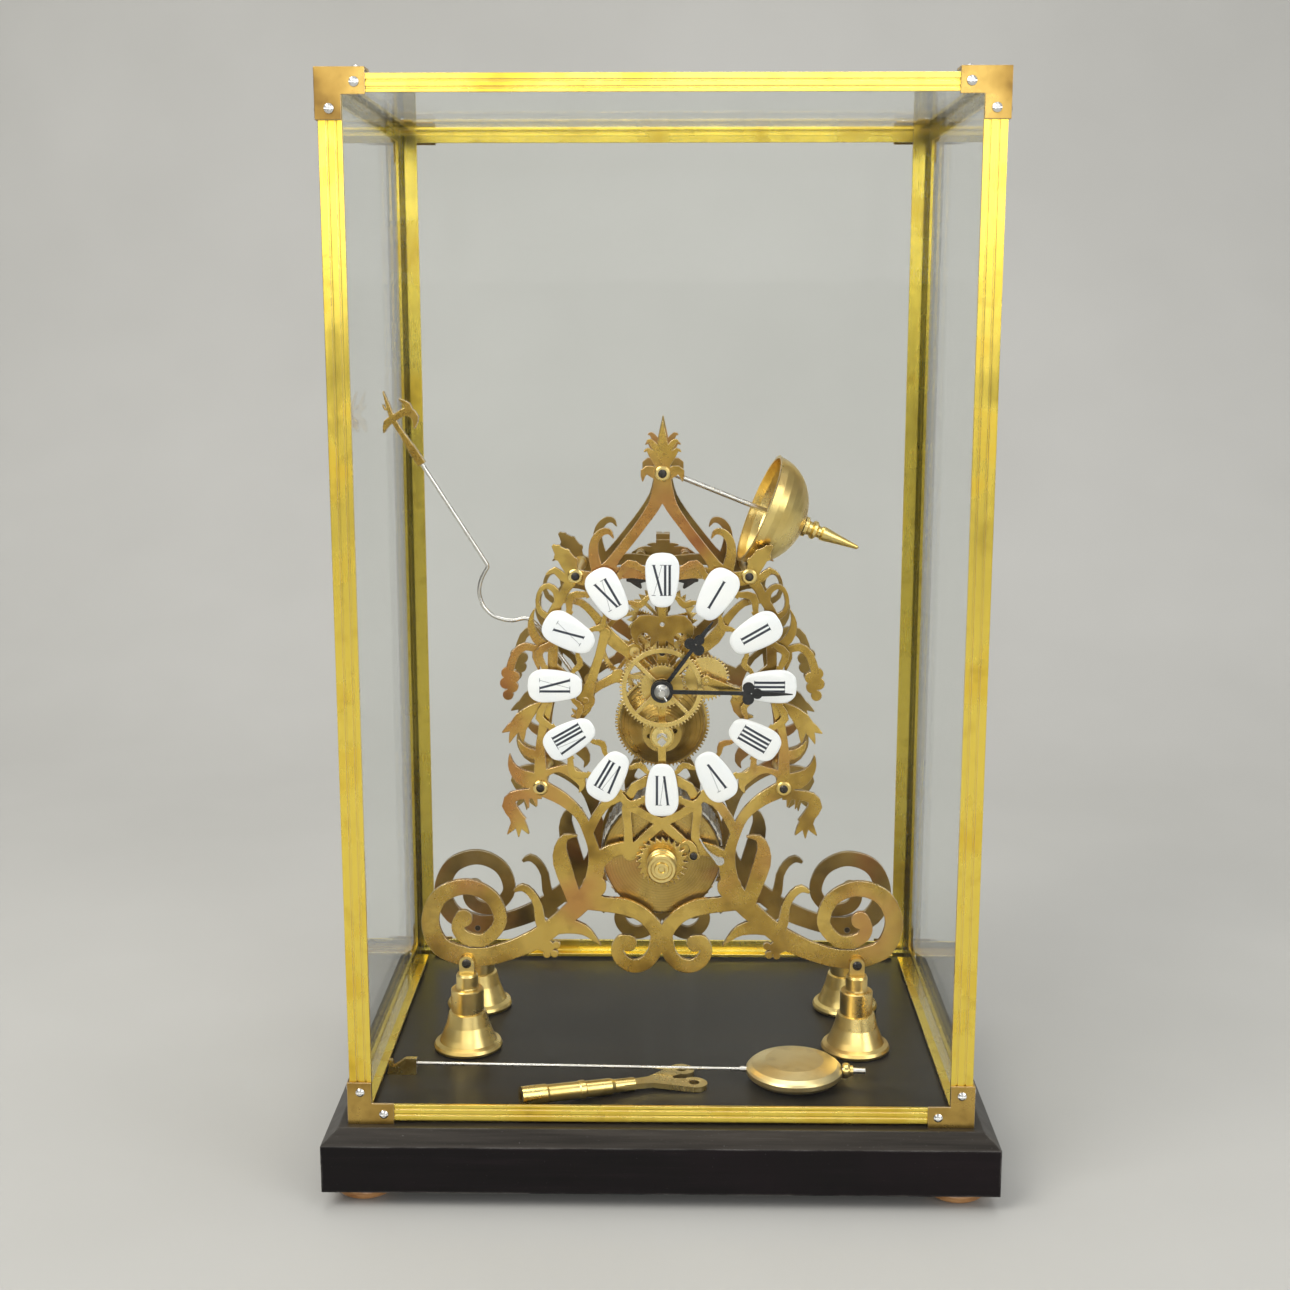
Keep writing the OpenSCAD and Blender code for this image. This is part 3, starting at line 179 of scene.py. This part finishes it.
def brass(name, bright, warm, dull, rough, patina=(0.42, 0.6), edge=0.0004, streak=(1, 1, 1), marks=None,
          mark_tone_and_groove_shade=0.15, copper=0.0, fine=True, grain=0.01, crevice_shade=0.75):
    """Brass with cloudy patina, painted shade in crevices, pale edges of rubbed wear and painted highlight,
    fine scratches, and optional turning marks or coppery spots; marks set deep paint shade into grooves."""
    paint = Paint(name)
    cloud = paint.noise(34, 3.5, 0.5)
    stain = paint.noise(120, 3, 0.5)
    speck = paint.noise(1000, 3, 0.7)
    colour = paint.steps(cloud, [(patina[0] - 0.14, dull), (patina[0], warm), (patina[1], bright)])
    colour = paint.mix(paint.range(stain, 0.54, 0.74, 0, 0.35), colour, dull)
    colour = paint.mix(paint.range(speck, 0.68, 0.8, 0, 0.3), colour, [0.4 * c for c in dull])
    if copper:
        blush = paint.range(paint.noise(17, 3, 0.5, paint.place((1, 1.7, 1))), 0.53, 0.66, 0, copper)
        colour = paint.mix(blush, colour, (0.50, 0.17, 0.075))
    if crevice_shade:
        # Painted shade: ambient occlusion darkens the colour in crevices, tooth gaps and where parts lie
        # close together.
        crevice_occlusion = paint.node("ShaderNodeAmbientOcclusion", {"Distance": 0.003}, samples=6).outputs["AO"]
        colour = paint.mix(paint.range(crevice_occlusion, 0.2, 0.75, crevice_shade, 0), colour, [0.22 * c for c in dull])
    scratch = paint.noise(420, 3, 0.6, paint.place(streak))
    height = paint.math("ADD", scratch, paint.math("MULTIPLY", speck, 0.3))
    if marks:
        wave = marks(paint)
        height = paint.math("ADD", height, paint.math("MULTIPLY", wave, 0.5))
        # Colour darkens along the marks: a tone for turning marks, and painted shade in the grooves when set
        # deep.
        colour = paint.mix(paint.range(wave, 0, 0.9, 0, mark_tone_and_groove_shade), colour, [0.35 * c for c in dull])
    roughness = paint.range(cloud, 0.35, 0.65, rough + 0.12, rough)
    roughness = paint.math("ADD", roughness, paint.range(scratch, 0.4, 0.7, -0.02, 0.035))
    if fine:
        # Pale edges: rubbed wear, and a painted highlight where the chamfers catch light.
        wear_and_highlight = paint.edge(edge)
        colour = paint.mix(paint.math("MULTIPLY", wear_and_highlight, 0.85), colour, [0.45 + 0.6 * c for c in bright])
        normal = paint.bump(height, grain, 0.0002, paint.bevel(edge))
    else:
        normal = paint.bump(height, grain, 0.0002)
    paint.surface(base_color=colour, metallic=1.0, roughness=roughness, normal=normal)
    return paint.material


def steel(name, tone, rough, stain):
    """Steel with cloudy stains and fine scratches."""
    paint = Paint(name)
    cloud = paint.noise(90, 5)
    scratch = paint.noise(500, 3, 0.6, paint.place((1, 0.2, 1)))
    colour = paint.mix(paint.range(cloud, 0.45, 0.7, 0, 0.4), tone, stain)
    roughness = paint.math("ADD", paint.range(cloud, 0.3, 0.7, rough, rough + 0.1),
                           paint.range(scratch, 0.4, 0.7, -0.02, 0.03))
    paint.surface(base_color=colour, metallic=1.0, roughness=roughness,
                  normal=paint.bump(scratch, 0.004, 0.0001))
    return paint.material


def rod_and_hook():
    """Steel rod with its far left end, the hook block, in brass."""
    paint = Paint("rod_steel")
    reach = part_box("pendulum_rod")[0][0] + HOOK_LENGTH
    along = paint.node("ShaderNodeSeparateXYZ", {0: paint.place()}).outputs[0]
    hook = paint.range(along, reach - 0.0002, reach + 0.0002, 1, 0)
    cloud = paint.noise(160, 4)
    tone = paint.mix(paint.range(cloud, 0.4, 0.7, 0, 0.5), (0.74, 0.72, 0.68), (0.5, 0.47, 0.42))
    yellow = paint.mix(paint.range(cloud, 0.4, 0.65, 0, 1), (0.80, 0.62, 0.24), (0.5, 0.34, 0.1))
    paint.surface(base_color=paint.mix(hook, tone, yellow), metallic=1.0,
                  roughness=paint.range(cloud, 0.3, 0.7, 0.22, 0.34), normal=paint.bump(cloud, 0.01, 0.0002))
    return paint.material


def lacquered_wood():
    """Black lacquer with a faint wood figure, fine dust specks, upward-facing faces lighter, and pale edges
    of rubbed wear and painted highlight.
    """
    paint = Paint("black_lacquer")
    grain = paint.noise(55, 8, 0.65, paint.place((0.2, 5, 5)))
    cloud = paint.noise(11, 5)
    dust = paint.noise(1300, 2, 0.8)
    scuff = paint.noise(90, 6, 0.7, paint.place((0.35, 2, 2)))
    side = paint.steps(grain, [(0.3, (0.0014, 0.0008, 0.001)), (0.55, (0.0035, 0.002, 0.0026)),
                               (0.8, (0.012, 0.0065, 0.0085))])
    side = paint.mix(paint.range(cloud, 0.5, 0.7, 0, 0.6), side, (0.0085, 0.0035, 0.0055))
    top = paint.steps(grain, [(0.3, (0.015, 0.0125, 0.0095)), (0.6, (0.034, 0.029, 0.023)),
                              (0.85, (0.07, 0.06, 0.05))])
    geometry = paint.node("ShaderNodeNewGeometry")
    up = paint.node("ShaderNodeSeparateXYZ", {0: geometry.outputs["Normal"]}).outputs[2]
    # Upward-facing faces take the lighter top tones.
    colour = paint.mix(paint.range(up, 0.3, 0.8, 0, 1), side, top)
    # Pale edges: rubbed wear, and a painted highlight on the bevels.
    wear_and_highlight = paint.math("MULTIPLY", paint.edge(0.0016, 0.72, 0.985), paint.range(scuff, 0.42, 0.6, 0.12, 1))
    colour = paint.mix(paint.math("MULTIPLY", wear_and_highlight, 0.85), colour, (0.3, 0.28, 0.26))
    colour = paint.mix(paint.range(dust, 0.7, 0.77, 0, 0.6), colour, (0.25, 0.24, 0.22))
    roughness = paint.math("ADD", paint.range(grain, 0.3, 0.7, 0.3, 0.44), paint.math("MULTIPLY", wear_and_highlight, 0.2))
    surface = paint.surface(base_color=colour, roughness=roughness, coat_weight=0.12, coat_roughness=0.16,
                            normal=paint.bump(grain, 0.1, 0.0005, paint.bevel(0.0016)))
    surface.inputs["Specular IOR Level"].default_value = 0.15
    return paint.material


def foot_wood():
    """Reddish turned wood with its grain running round."""
    paint = Paint("varnished_wood")
    grain = paint.noise(120, 7, 0.6, paint.place((1, 1, 7)))
    colour = paint.steps(grain, [(0.3, (0.3, 0.12, 0.03)), (0.52, (0.5, 0.25, 0.09)),
                                 (0.75, (0.66, 0.38, 0.16))])
    paint.surface(base_color=colour, roughness=paint.range(grain, 0.3, 0.7, 0.3, 0.5), coat_weight=0.4,
                  normal=paint.bump(grain, 0.2, 0.0004))
    return paint.material


def pane_glass():
    """Thin clear glass: light goes straight through, a faint reflection and a breath of smear stay."""
    paint = Paint("clear_glass")
    smear = paint.noise(9, 5, 0.6, paint.place((1, 1, 0.5)))
    streak = paint.noise(30, 4, 0.6, paint.place((2.2, 2.2, 0.18)))
    clear = paint.node("ShaderNodeBsdfTransparent", {"Color": (0.992, 0.997, 0.992)})
    shine = paint.node("ShaderNodeBsdfGlossy", {"Color": (1, 1, 1),
                                                "Roughness": paint.range(smear, 0.4, 0.7, 0.0, 0.05)})
    veil = paint.node("ShaderNodeBsdfDiffuse", {"Color": (0.82, 0.84, 0.8)})
    weight = paint.node("ShaderNodeLayerWeight", {"Blend": 0.12}).outputs["Fresnel"]
    haze = paint.math("ADD", paint.range(smear, 0.45, 0.75, 0.0, 0.008),
                      paint.range(streak, 0.55, 0.75, 0.0, 0.006))
    glass = paint.node("ShaderNodeMixShader", {0: paint.math("MULTIPLY", weight, 0.55),
                                               1: clear.outputs[0], 2: shine.outputs[0]})
    hazy = paint.node("ShaderNodeMixShader", {0: haze, 1: glass.outputs[0], 2: veil.outputs[0]})
    paint.tree.links.new(hazy.outputs[0], paint.out.inputs[0])
    return paint.material


def enamel():
    """Glossy white enamel with a faint ripple and a few specks."""
    paint = Paint("white_enamel")
    ripple = paint.noise(220, 3)
    tint = paint.noise(60, 4)
    fleck = paint.noise(1500, 2, 0.7)
    colour = paint.steps(tint, [(0.35, (0.93, 0.945, 0.96)), (0.65, (0.985, 0.985, 0.97))])
    colour = paint.mix(paint.range(fleck, 0.72, 0.8, 0, 0.5), colour, (0.5, 0.48, 0.44))
    paint.surface(base_color=colour, roughness=paint.range(ripple, 0.3, 0.7, 0.12, 0.22), coat_weight=0.5,
                  coat_roughness=0.06, normal=paint.bump(ripple, 0.05, 0.0003))
    return paint.material


def satin_black(name, tone):
    """Black paint with a fine grit."""
    paint = Paint(name)
    grit = paint.noise(1400, 3)
    colour = paint.steps(paint.noise(200, 3), [(0.3, tone), (0.7, [1.8 * c for c in tone])])
    paint.surface(base_color=colour, roughness=paint.range(grit, 0.3, 0.7, 0.34, 0.5),
                  normal=paint.bump(grit, 0.1, 0.0001))
    return paint.material


# The case's polished brass: its three tones, roughness, patina range and the width of its pale edges of wear
# and painted highlight
CASE = ((0.97, 0.74, 0.12), (0.88, 0.61, 0.07), (0.54, 0.33, 0.035), 0.2, (0.34, 0.5), 0.0005)
MATERIALS = {
    "post_brass": brass("post_brass", *CASE, streak=(1, 1, 0.02), crevice_shade=0),
    "rail_brass": brass("rail_brass", *CASE, streak=(0.02, 0.02, 1), crevice_shade=0),
    "bracket_brass": brass("bracket_brass", (0.56, 0.37, 0.10), (0.42, 0.26, 0.065), (0.17, 0.095, 0.03),
                           0.26, (0.42, 0.6), 0.0005),
    "plate_brass": brass("plate_brass", (0.71, 0.485, 0.12), (0.50, 0.315, 0.066), (0.20, 0.11, 0.026), 0.2,
                         (0.42, 0.58), 0.00055, copper=0.55),
    "back_brass": brass("back_brass", (0.42, 0.29, 0.09), (0.29, 0.195, 0.058), (0.12, 0.08, 0.028), 0.3,
                        (0.44, 0.62), 0.0005, copper=0.4),
    "turned_brass": brass("turned_brass", (0.88, 0.68, 0.26), (0.76, 0.55, 0.17), (0.42, 0.27, 0.075), 0.25,
                          (0.34, 0.5), fine=False, grain=0.005, copper=0.2),
    "bob_brass": brass("bob_brass", (0.97, 0.80, 0.42), (0.88, 0.68, 0.30), (0.52, 0.36, 0.13), 0.32,
                       (0.34, 0.5), fine=False, grain=0.005, crevice_shade=0.4),
    "drum_brass": brass("drum_brass", (0.60, 0.41, 0.12), (0.44, 0.29, 0.075), (0.19, 0.12, 0.035), 0.25,
                        (0.42, 0.6), marks=lambda paint: face_rings(paint, DRUM), fine=False, copper=0.7),
    # The fusee's grooves are darkened strongly: painted shade in each groove.
    "fusee_brass": brass("fusee_brass", (0.62, 0.43, 0.125), (0.44, 0.29, 0.075), (0.17, 0.11, 0.03), 0.24,
                         (0.42, 0.6), marks=fusee_grooves, mark_tone_and_groove_shade=0.9, fine=False, crevice_shade=0.25),
    "wheel_brass": brass("wheel_brass", (0.82, 0.60, 0.20), (0.64, 0.44, 0.12), (0.29, 0.18, 0.05), 0.22,
                         (0.38, 0.54), 0.00045),
    "steel": steel("bright_steel", (0.72, 0.70, 0.66), 0.2, (0.45, 0.42, 0.37)),
    "screw_steel": steel("screw_steel", (0.78, 0.78, 0.76), 0.2, (0.48, 0.46, 0.43)),
    # Collet steel is a darkened copy of the bright steel: painted shade.
    "shaded_collet_steel": steel("shaded_collet_steel", (0.46, 0.45, 0.43), 0.3, (0.28, 0.26, 0.23)),
    "dark_steel": steel("dark_steel", (0.06, 0.056, 0.052), 0.3, (0.12, 0.085, 0.055)),
    "rod_steel": rod_and_hook(),
    "black_wood": lacquered_wood(),
    "foot_wood": foot_wood(),
    "glass": pane_glass(),
    "enamel": enamel(),
    "black_hand": satin_black("black_hand", (0.0035, 0.0035, 0.004)),
    "numeral_ink": satin_black("numeral_ink", (0.022, 0.026, 0.038)),
}
# Nodes whose material isn't the one that their slot in the record names
SPECIAL = {"barrel": "drum_brass", "fusee_cone": "fusee_brass", "case_posts": "post_brass",
           "case_top_rails": "rail_brass", "case_bottom_rails": "rail_brass", "pendulum_rod": "rod_steel",
           "pendulum_bob": "bob_brass", "hand_collet": "shaded_collet_steel"}
for wheel in ("great", "centre", "third", "escape", "cannon", "minute", "hour"):
    SPECIAL[wheel + "_wheel"] = "wheel_brass"
slot_of = {entry["node"]: entry["material_slot"] for entry in frame["record"]["subparts"]}
for name, node in frame["nodes"].items():
    node.data.materials.clear()
    node.data.materials.append(MATERIALS[SPECIAL.get(name, slot_of[name])])

# ---------------------------------------------------------------- mesh helpers


def piece(name, bm, material, body, smooth=30):
    """Object from a bmesh, shaded smooth up to an angle and riding a body."""
    mesh = bpy.data.meshes.new(name)
    bm.normal_update()
    bm.to_mesh(mesh)
    bm.free()
    mesh.materials.append(MATERIALS[material])
    if smooth:
        mesh.shade_smooth()
        mesh.set_sharp_from_angle(angle=math.radians(smooth))
    made = bpy.data.objects.new(name, mesh)
    bpy.context.scene.collection.objects.link(made)
    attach(made, body)
    return made


def smooth_run(points, steps=6):
    """Points of a smooth curve through the given ones."""
    run = []
    count = len(points)
    for i in range(count - 1):
        a, b = Vector(points[max(i - 1, 0)]), Vector(points[i])
        c, d = Vector(points[i + 1]), Vector(points[min(i + 2, count - 1)])
        for k in range(steps):
            t = k / steps
            run.append(0.5 * (2 * b + (c - a) * t + (2 * a - 5 * b + 4 * c - d) * t ** 2
                              + (3 * b - a - 3 * c + d) * t ** 3))
    run.append(Vector(points[-1]))
    return run


# ---------------------------------------------------------------- enamel cartouches and numerals

# All in millimetres. SIDE is the right half of a cartouche's outline: how far right of its middle line and
# how far in from its outer end
SIDE = [(0, 0), (4.8, 0.9), (7.7, 4.6), (8.1, 10.4), (7.2, 17.6), (5.6, 23.2), (3, 25.8), (0, 26.3)]
HALF_W, HALF_H = 8.1, 13.15
DOME, DOME_POWER = 0.75, 1.6
RIM_DROP = 0.25
DOME_SCALES = (1, 0.97, 0.9, 0.75, 0.5, 0.25)


def dome_y(x, z):
    """Front of the enamel at a point given in millimetres from the cartouche's middle."""
    q = min(1.0, (x / HALF_W) ** 2 + (z / HALF_H) ** 2)
    return ENAMEL_FRONT + DOME * MM * q ** DOME_POWER


def dial_place(hour, x, z, y):
    """A cartouche point, turned to its hour; z is measured outward from the cartouche's middle."""
    turn = math.radians(-30 * hour)
    r = DIAL_R - HALF_H * MM + z * MM
    return (DIAL_X + x * MM * math.cos(turn) - r * math.sin(turn), y,
            DIAL_Z + x * MM * math.sin(turn) + r * math.cos(turn))


def cartouche(bm, hour):
    """Enamel tile: a flat back, a short wall and a domed front that shrinks to its middle in rings."""
    right = smooth_run(SIDE, 5)
    outline = [(p[0], HALF_H - p[1]) for p in right] + [(-p[0], HALF_H - p[1]) for p in right[-2:0:-1]]
    rings = [[bm.verts.new(dial_place(hour, x, z, ENAMEL_BACK)) for x, z in outline]]
    for scale in DOME_SCALES:
        drop = RIM_DROP * MM if scale == 1 else 0
        places = [(x * scale, z * scale) for x, z in outline]
        rings.append([bm.verts.new(dial_place(hour, x, z, dome_y(x, z) + drop)) for x, z in places])
    for inner, outer in zip(rings[1:], rings):
        for i in range(len(outline)):
            j = (i + 1) % len(outline)
            bm.faces.new((outer[i], outer[j], inner[j], inner[i]))
    bm.faces.new(rings[-1])
    bm.faces.new(rings[0][::-1])


# Widths of thick and thin strokes, height of a letter and longest numeral, in millimetres
THICK, THIN = 1.15, 0.15
TALL = 14.6
LONGEST = 10.2
# How far the ink and the serifs stand off the enamel
INK_LIFT, SERIF_LIFT = 0.05 * MM, 0.045 * MM
# Each letter: its width, and its strokes as both ends' x and height in parts of the letter, with the ink's
# width
LETTERS = {
    "I": (2.15, [(0.5, 0, 0.5, 1, THICK)]),
    "V": (4.8, [(0.1, 1, 0.5, 0, THICK), (0.9, 1, 0.5, 0, THIN)]),
    "X": (4.9, [(0.1, 1, 0.9, 0, THICK), (0.9, 1, 0.1, 0, THIN)]),
}
HOURS = ["XII", "I", "II", "III", "IIII", "V", "VI", "VII", "VIII", "IX", "X", "XI"]


def ink_stroke(bm, hour, x0, z0, x1, z1, width):
    """Flat-ended stroke that lies on the domed enamel; its ends stay level."""
    parts = 8
    half = width / 2
    pairs = []
    for i in range(parts + 1):
        t = i / parts
        x, z = x0 + (x1 - x0) * t, z0 + (z1 - z0) * t
        pairs.append([bm.verts.new(dial_place(hour, x + s, z, dome_y(x + s, z) - INK_LIFT))
                      for s in (-half, half)])
    for a, b in zip(pairs, pairs[1:]):
        bm.faces.new((a[0], a[1], b[1], b[0]))


def serif(bm, hour, x, z):
    """Level bar across a stroke's end."""
    half, thick = 0.95, 0.12
    corners = [(x - half, z - thick), (x + half, z - thick), (x + half, z + thick), (x - half, z + thick)]
    bm.faces.new([bm.verts.new(dial_place(hour, a, b, dome_y(a, b) - SERIF_LIFT)) for a, b in corners])


def numeral(bm, hour, text):
    """Roman numeral in the middle of its cartouche, squeezed when it is long."""
    total = sum(LETTERS[c][0] for c in text)
    squeeze = min(1.0, LONGEST / total)
    x = -total * squeeze / 2
    for letter in text:
        width, strokes = LETTERS[letter]
        width *= squeeze
        for xa, za, xb, zb, ink in strokes:
            ends = [(x + xa * width, (za - 0.5) * TALL), (x + xb * width, (zb - 0.5) * TALL)]
            ink_stroke(bm, hour, *ends[0], *ends[1], ink * (squeeze ** 0.3))
            for ex, ez in ends:
                if letter != "V" or ez > 0:
                    serif(bm, hour, ex, ez)
        x += width


bm = bmesh.new()
for hour in range(12):
    cartouche(bm, hour)
tiles = piece("enamel_cartouches", bm, "enamel", "stand", 50)
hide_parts("cartouches")
bm = bmesh.new()
for hour, text in enumerate(HOURS):
    numeral(bm, hour, text)
bmesh.ops.recalc_face_normals(bm, faces=bm.faces)
piece("numerals", bm, "numeral_ink", "stand", 0)

# ---------------------------------------------------------------- chain on the barrel


def chain_link(bm, centre, angle, y, radius, length, width):
    """Pair of figure-of-eight plates that lie along the barrel's surface."""
    tangent = Vector((-math.sin(angle), 0, math.cos(angle)))
    outward = Vector((math.cos(angle), 0, math.sin(angle)))
    middle = Vector((centre[0], y, centre[2])) + outward * radius
    half = width * 0.42
    profile = []
    for end in (1, -1):
        for k in range(5):
            a = math.radians(-70 + 35 * k)
            profile.append((end * (length * 0.36 + half * 0.9 * math.cos(a)), end * half * math.sin(a)))
    profile.insert(5, (0, half * 0.55))
    profile.append((0, -half * 0.55))
    for side in (-1, 1):
        faces = []
        for depth in (side * width * 0.22, side * width * 0.48):
            shift = middle + Vector((0, depth, 0))
            faces.append([bm.verts.new(shift + tangent * u + outward * v) for u, v in profile])
        bm.faces.new(faces[0])
        bm.faces.new(faces[1][::-1])
        for i in range(len(profile)):
            j = (i + 1) % len(profile)
            bm.faces.new((faces[0][i], faces[0][j], faces[1][j], faces[1][i]))


CHAIN_TURNS, LINKS_PER_TURN = 15, 58
CHAIN_DEPTH = 0.8 * MM
OVERLAP = 1.25
WIDE, NARROW = 0.92, 0.92 * 0.62
low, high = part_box("fusee_chain")
chain_r = (high[0] - low[0]) / 2
pitch = (high[1] - low[1]) / CHAIN_TURNS
link = 2 * math.pi * chain_r / LINKS_PER_TURN
bm = bmesh.new()
for i in range(CHAIN_TURNS * LINKS_PER_TURN):
    turn = i / LINKS_PER_TURN
    y = low[1] + pitch * (0.5 + turn * (CHAIN_TURNS - 1) / CHAIN_TURNS)
    chain_link(bm, DRUM, 2 * math.pi * turn, y, chain_r - CHAIN_DEPTH, link * OVERLAP,
               pitch * (WIDE if i % 2 else NARROW))
bmesh.ops.recalc_face_normals(bm, faces=bm.faces)
chain = piece("wound_chain", bm, "steel", "drum", 0)
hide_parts("fusee_chain")

# ---------------------------------------------------------------- hammer wire, drawn round


def tube(name, run, radius, material, body):
    """Round bar through the points of a run."""
    data = bpy.data.curves.new(name, "CURVE")
    data.dimensions = "3D"
    data.bevel_depth = radius
    data.bevel_resolution = 5
    data.use_fill_caps = True
    spline = data.splines.new("POLY")
    spline.points.add(len(run) - 1)
    for point, v in zip(spline.points, run):
        point.co = (*v, 1)
    spline.use_smooth = True
    data.materials.append(MATERIALS[material])
    made = bpy.data.objects.new(name, data)
    bpy.context.scene.collection.objects.link(made)
    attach(made, body)
    return made


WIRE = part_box("hammer_wire")
WIRE_Y = mid("hammer_wire")[1]
WIRE_R = 1.0 * MM
# The wire's way from its hub to the hammer head, in millimetres right of and above its box's lower right
# corner
BEND = [(-0.8, 0.6), (-12.2, 16.3), (-19.7, 27.7), (-27.5, 34.5), (-36.3, 33.7), (-44.3, 35.9), (-49.3, 40.8),
        (-51.2, 47.4), (-50.1, 53.9), (-46.9, 59.9)]
SHANK = [(-47.2, 61.3), (-62.3, 85.3), (-79.3, 112.3)]


def wire_point(x, z):
    return Vector((WIRE[1][0] + x * MM, WIRE_Y, WIRE[0][2] + z * MM))


bend = smooth_run([wire_point(*p) for p in BEND], 6) + [wire_point(*p) for p in SHANK]
wire = tube("round_hammer_wire", bend, WIRE_R, "steel", "hammer")
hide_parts("hammer_wire")

# ---------------------------------------------------------------- taper pin through the centre arbor

# Both ends, in millimetres right of and above the dial's middle
PIN_ENDS = [(-1.8, 3.1), (2.3, -3.9)]
PIN_R = 0.5 * MM
PIN_STAND_OFF = 1.3 * MM
pin_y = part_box("hand_collet")[0][1] - PIN_STAND_OFF
pin_run = [(DIAL_X + x * MM, pin_y, DIAL_Z + z * MM) for x, z in PIN_ENDS]
tube("taper_pin", pin_run, PIN_R, "screw_steel", "minute")

# ---------------------------------------------------------------- stage, light and camera


def stage_material():
    """Pale grey paper."""
    paint = Paint("studio_grey")
    soft = paint.noise(3, 3)
    colour = paint.steps(soft, [(0.3, (0.415, 0.41, 0.385)), (0.7, (0.45, 0.445, 0.42))])
    paint.surface(base_color=colour, roughness=0.75, normal=paint.bump(paint.noise(240, 4), 0.05, 0.001))
    return paint.material


def backdrop():
    """Floor that sweeps up into a back wall."""
    bm = bmesh.new()
    half, front, back, top, bend = 4.0, -7.0, 1.5, 3.2, 0.9
    profile = [(front, 0.0), (back - bend, 0.0)]
    profile += [(back - bend + bend * math.sin(a), bend - bend * math.cos(a))
                for a in (math.radians(d) for d in range(5, 90, 5))]
    profile += [(back, bend), (back, top)]
    rows = [[bm.verts.new((x, y, z)) for y, z in profile] for x in (-half, half)]
    for i in range(len(profile) - 1):
        bm.faces.new((rows[0][i], rows[1][i], rows[1][i + 1], rows[0][i + 1]))
    mesh = bpy.data.meshes.new("backdrop")
    bm.to_mesh(mesh)
    bm.free()
    mesh.shade_smooth()
    mesh.materials.append(stage_material())
    sweep = bpy.data.objects.new("backdrop", mesh)
    bpy.context.scene.collection.objects.link(sweep)


def area_light(name, place, target, size, power, colour=(1, 1, 1)):
    """Rectangular lamp that shines from place to target."""
    data = bpy.data.lights.new(name, "AREA")
    data.shape = "RECTANGLE"
    data.size, data.size_y = size
    data.energy = power
    data.color = colour
    lamp = bpy.data.objects.new(name, data)
    lamp.location = place
    lamp.rotation_euler = (Vector(target) - Vector(place)).to_track_quat("-Z", "Y").to_euler()
    bpy.context.scene.collection.objects.link(lamp)


backdrop()
# The lamps aim at the middle of the case
TARGET = (0, 0, 0.25)
area_light("key", (-1.3, -1.2, 1.9), TARGET, (1.3, 1.3), 40, (1.0, 0.98, 0.94))
area_light("fill", (1.6, -1.4, 1.2), TARGET, (1.2, 1.6), 20, (0.96, 0.98, 1.0))
area_light("top", (0.1, 0.2, 2.3), TARGET, (1.6, 1.0), 20)
area_light("front", (0.0, -2.6, 0.9), TARGET, (2.4, 0.9), 16)


WALL_GREY = (0.52, 0.515, 0.48, 1)
ROOM_LIGHT = 0.56


def studio_world():
    """Soft room light with cloudy reflections, bright overhead and darker near the horizon; the camera itself
    sees a plain pale wall."""
    world = bpy.data.worlds.new("studio")
    world.use_nodes = True
    tree = world.node_tree
    background = tree.nodes["Background"]
    coords = tree.nodes.new("ShaderNodeTexCoord")
    split = tree.nodes.new("ShaderNodeSeparateXYZ")
    ramp = tree.nodes.new("ShaderNodeValToRGB")
    patch = tree.nodes.new("ShaderNodeTexNoise")
    spread = tree.nodes.new("ShaderNodeMapRange")
    mix = tree.nodes.new("ShaderNodeMix")
    mix.data_type, mix.blend_type = "RGBA", "MULTIPLY"
    mix.inputs[0].default_value = 1.0
    tree.links.new(coords.outputs["Generated"], split.inputs[0])
    tree.links.new(coords.outputs["Generated"], patch.inputs["Vector"])
    patch.inputs["Scale"].default_value = 3.2
    patch.inputs["Detail"].default_value = 1.5
    tree.links.new(split.outputs[2], ramp.inputs[0])
    marks = ramp.color_ramp.elements
    while len(marks) < 4:
        marks.new(0.5)
    for mark, (position, shade) in zip(marks, [(0.0, 0.5), (0.12, 0.32), (0.4, 0.62), (0.9, 1.0)]):
        mark.position = position
        mark.color = (shade, shade, shade * 1.01, 1)
    tree.links.new(patch.outputs["Fac"], spread.inputs["Value"])
    for key, value in (("From Min", 0.38), ("From Max", 0.62), ("To Min", 0.5), ("To Max", 1.4)):
        spread.inputs[key].default_value = value
    tree.links.new(ramp.outputs[0], mix.inputs[6])
    tree.links.new(spread.outputs[0], mix.inputs[7])
    tree.links.new(mix.outputs[2], background.inputs[0])
    background.inputs[1].default_value = ROOM_LIGHT
    plain = tree.nodes.new("ShaderNodeBackground")
    plain.inputs[0].default_value = WALL_GREY
    seen = tree.nodes.new("ShaderNodeLightPath")
    choice = tree.nodes.new("ShaderNodeMixShader")
    tree.links.new(seen.outputs["Is Camera Ray"], choice.inputs[0])
    tree.links.new(background.outputs[0], choice.inputs[1])
    tree.links.new(plain.outputs[0], choice.inputs[2])
    tree.links.new(choice.outputs[0], tree.nodes["World Output"].inputs[0])
    bpy.context.scene.world = world


studio_world()
scene = bpy.context.scene
scene.view_settings.view_transform = "Standard"
scene.view_settings.look = "None"
scene.view_settings.exposure = 0.0

EYE = (0.0042, -0.852, 0.3975)
TILT, TURN = 79.366, 0.86
LENS, SENSOR = 49.0, 36
lens = bpy.data.cameras.new("camera")
lens.sensor_width = SENSOR
lens.lens = LENS
camera = bpy.data.objects.new("camera", lens)
camera.location = EYE
camera.rotation_euler = (math.radians(TILT), 0, math.radians(TURN))
scene.collection.objects.link(camera)
scene.camera = camera
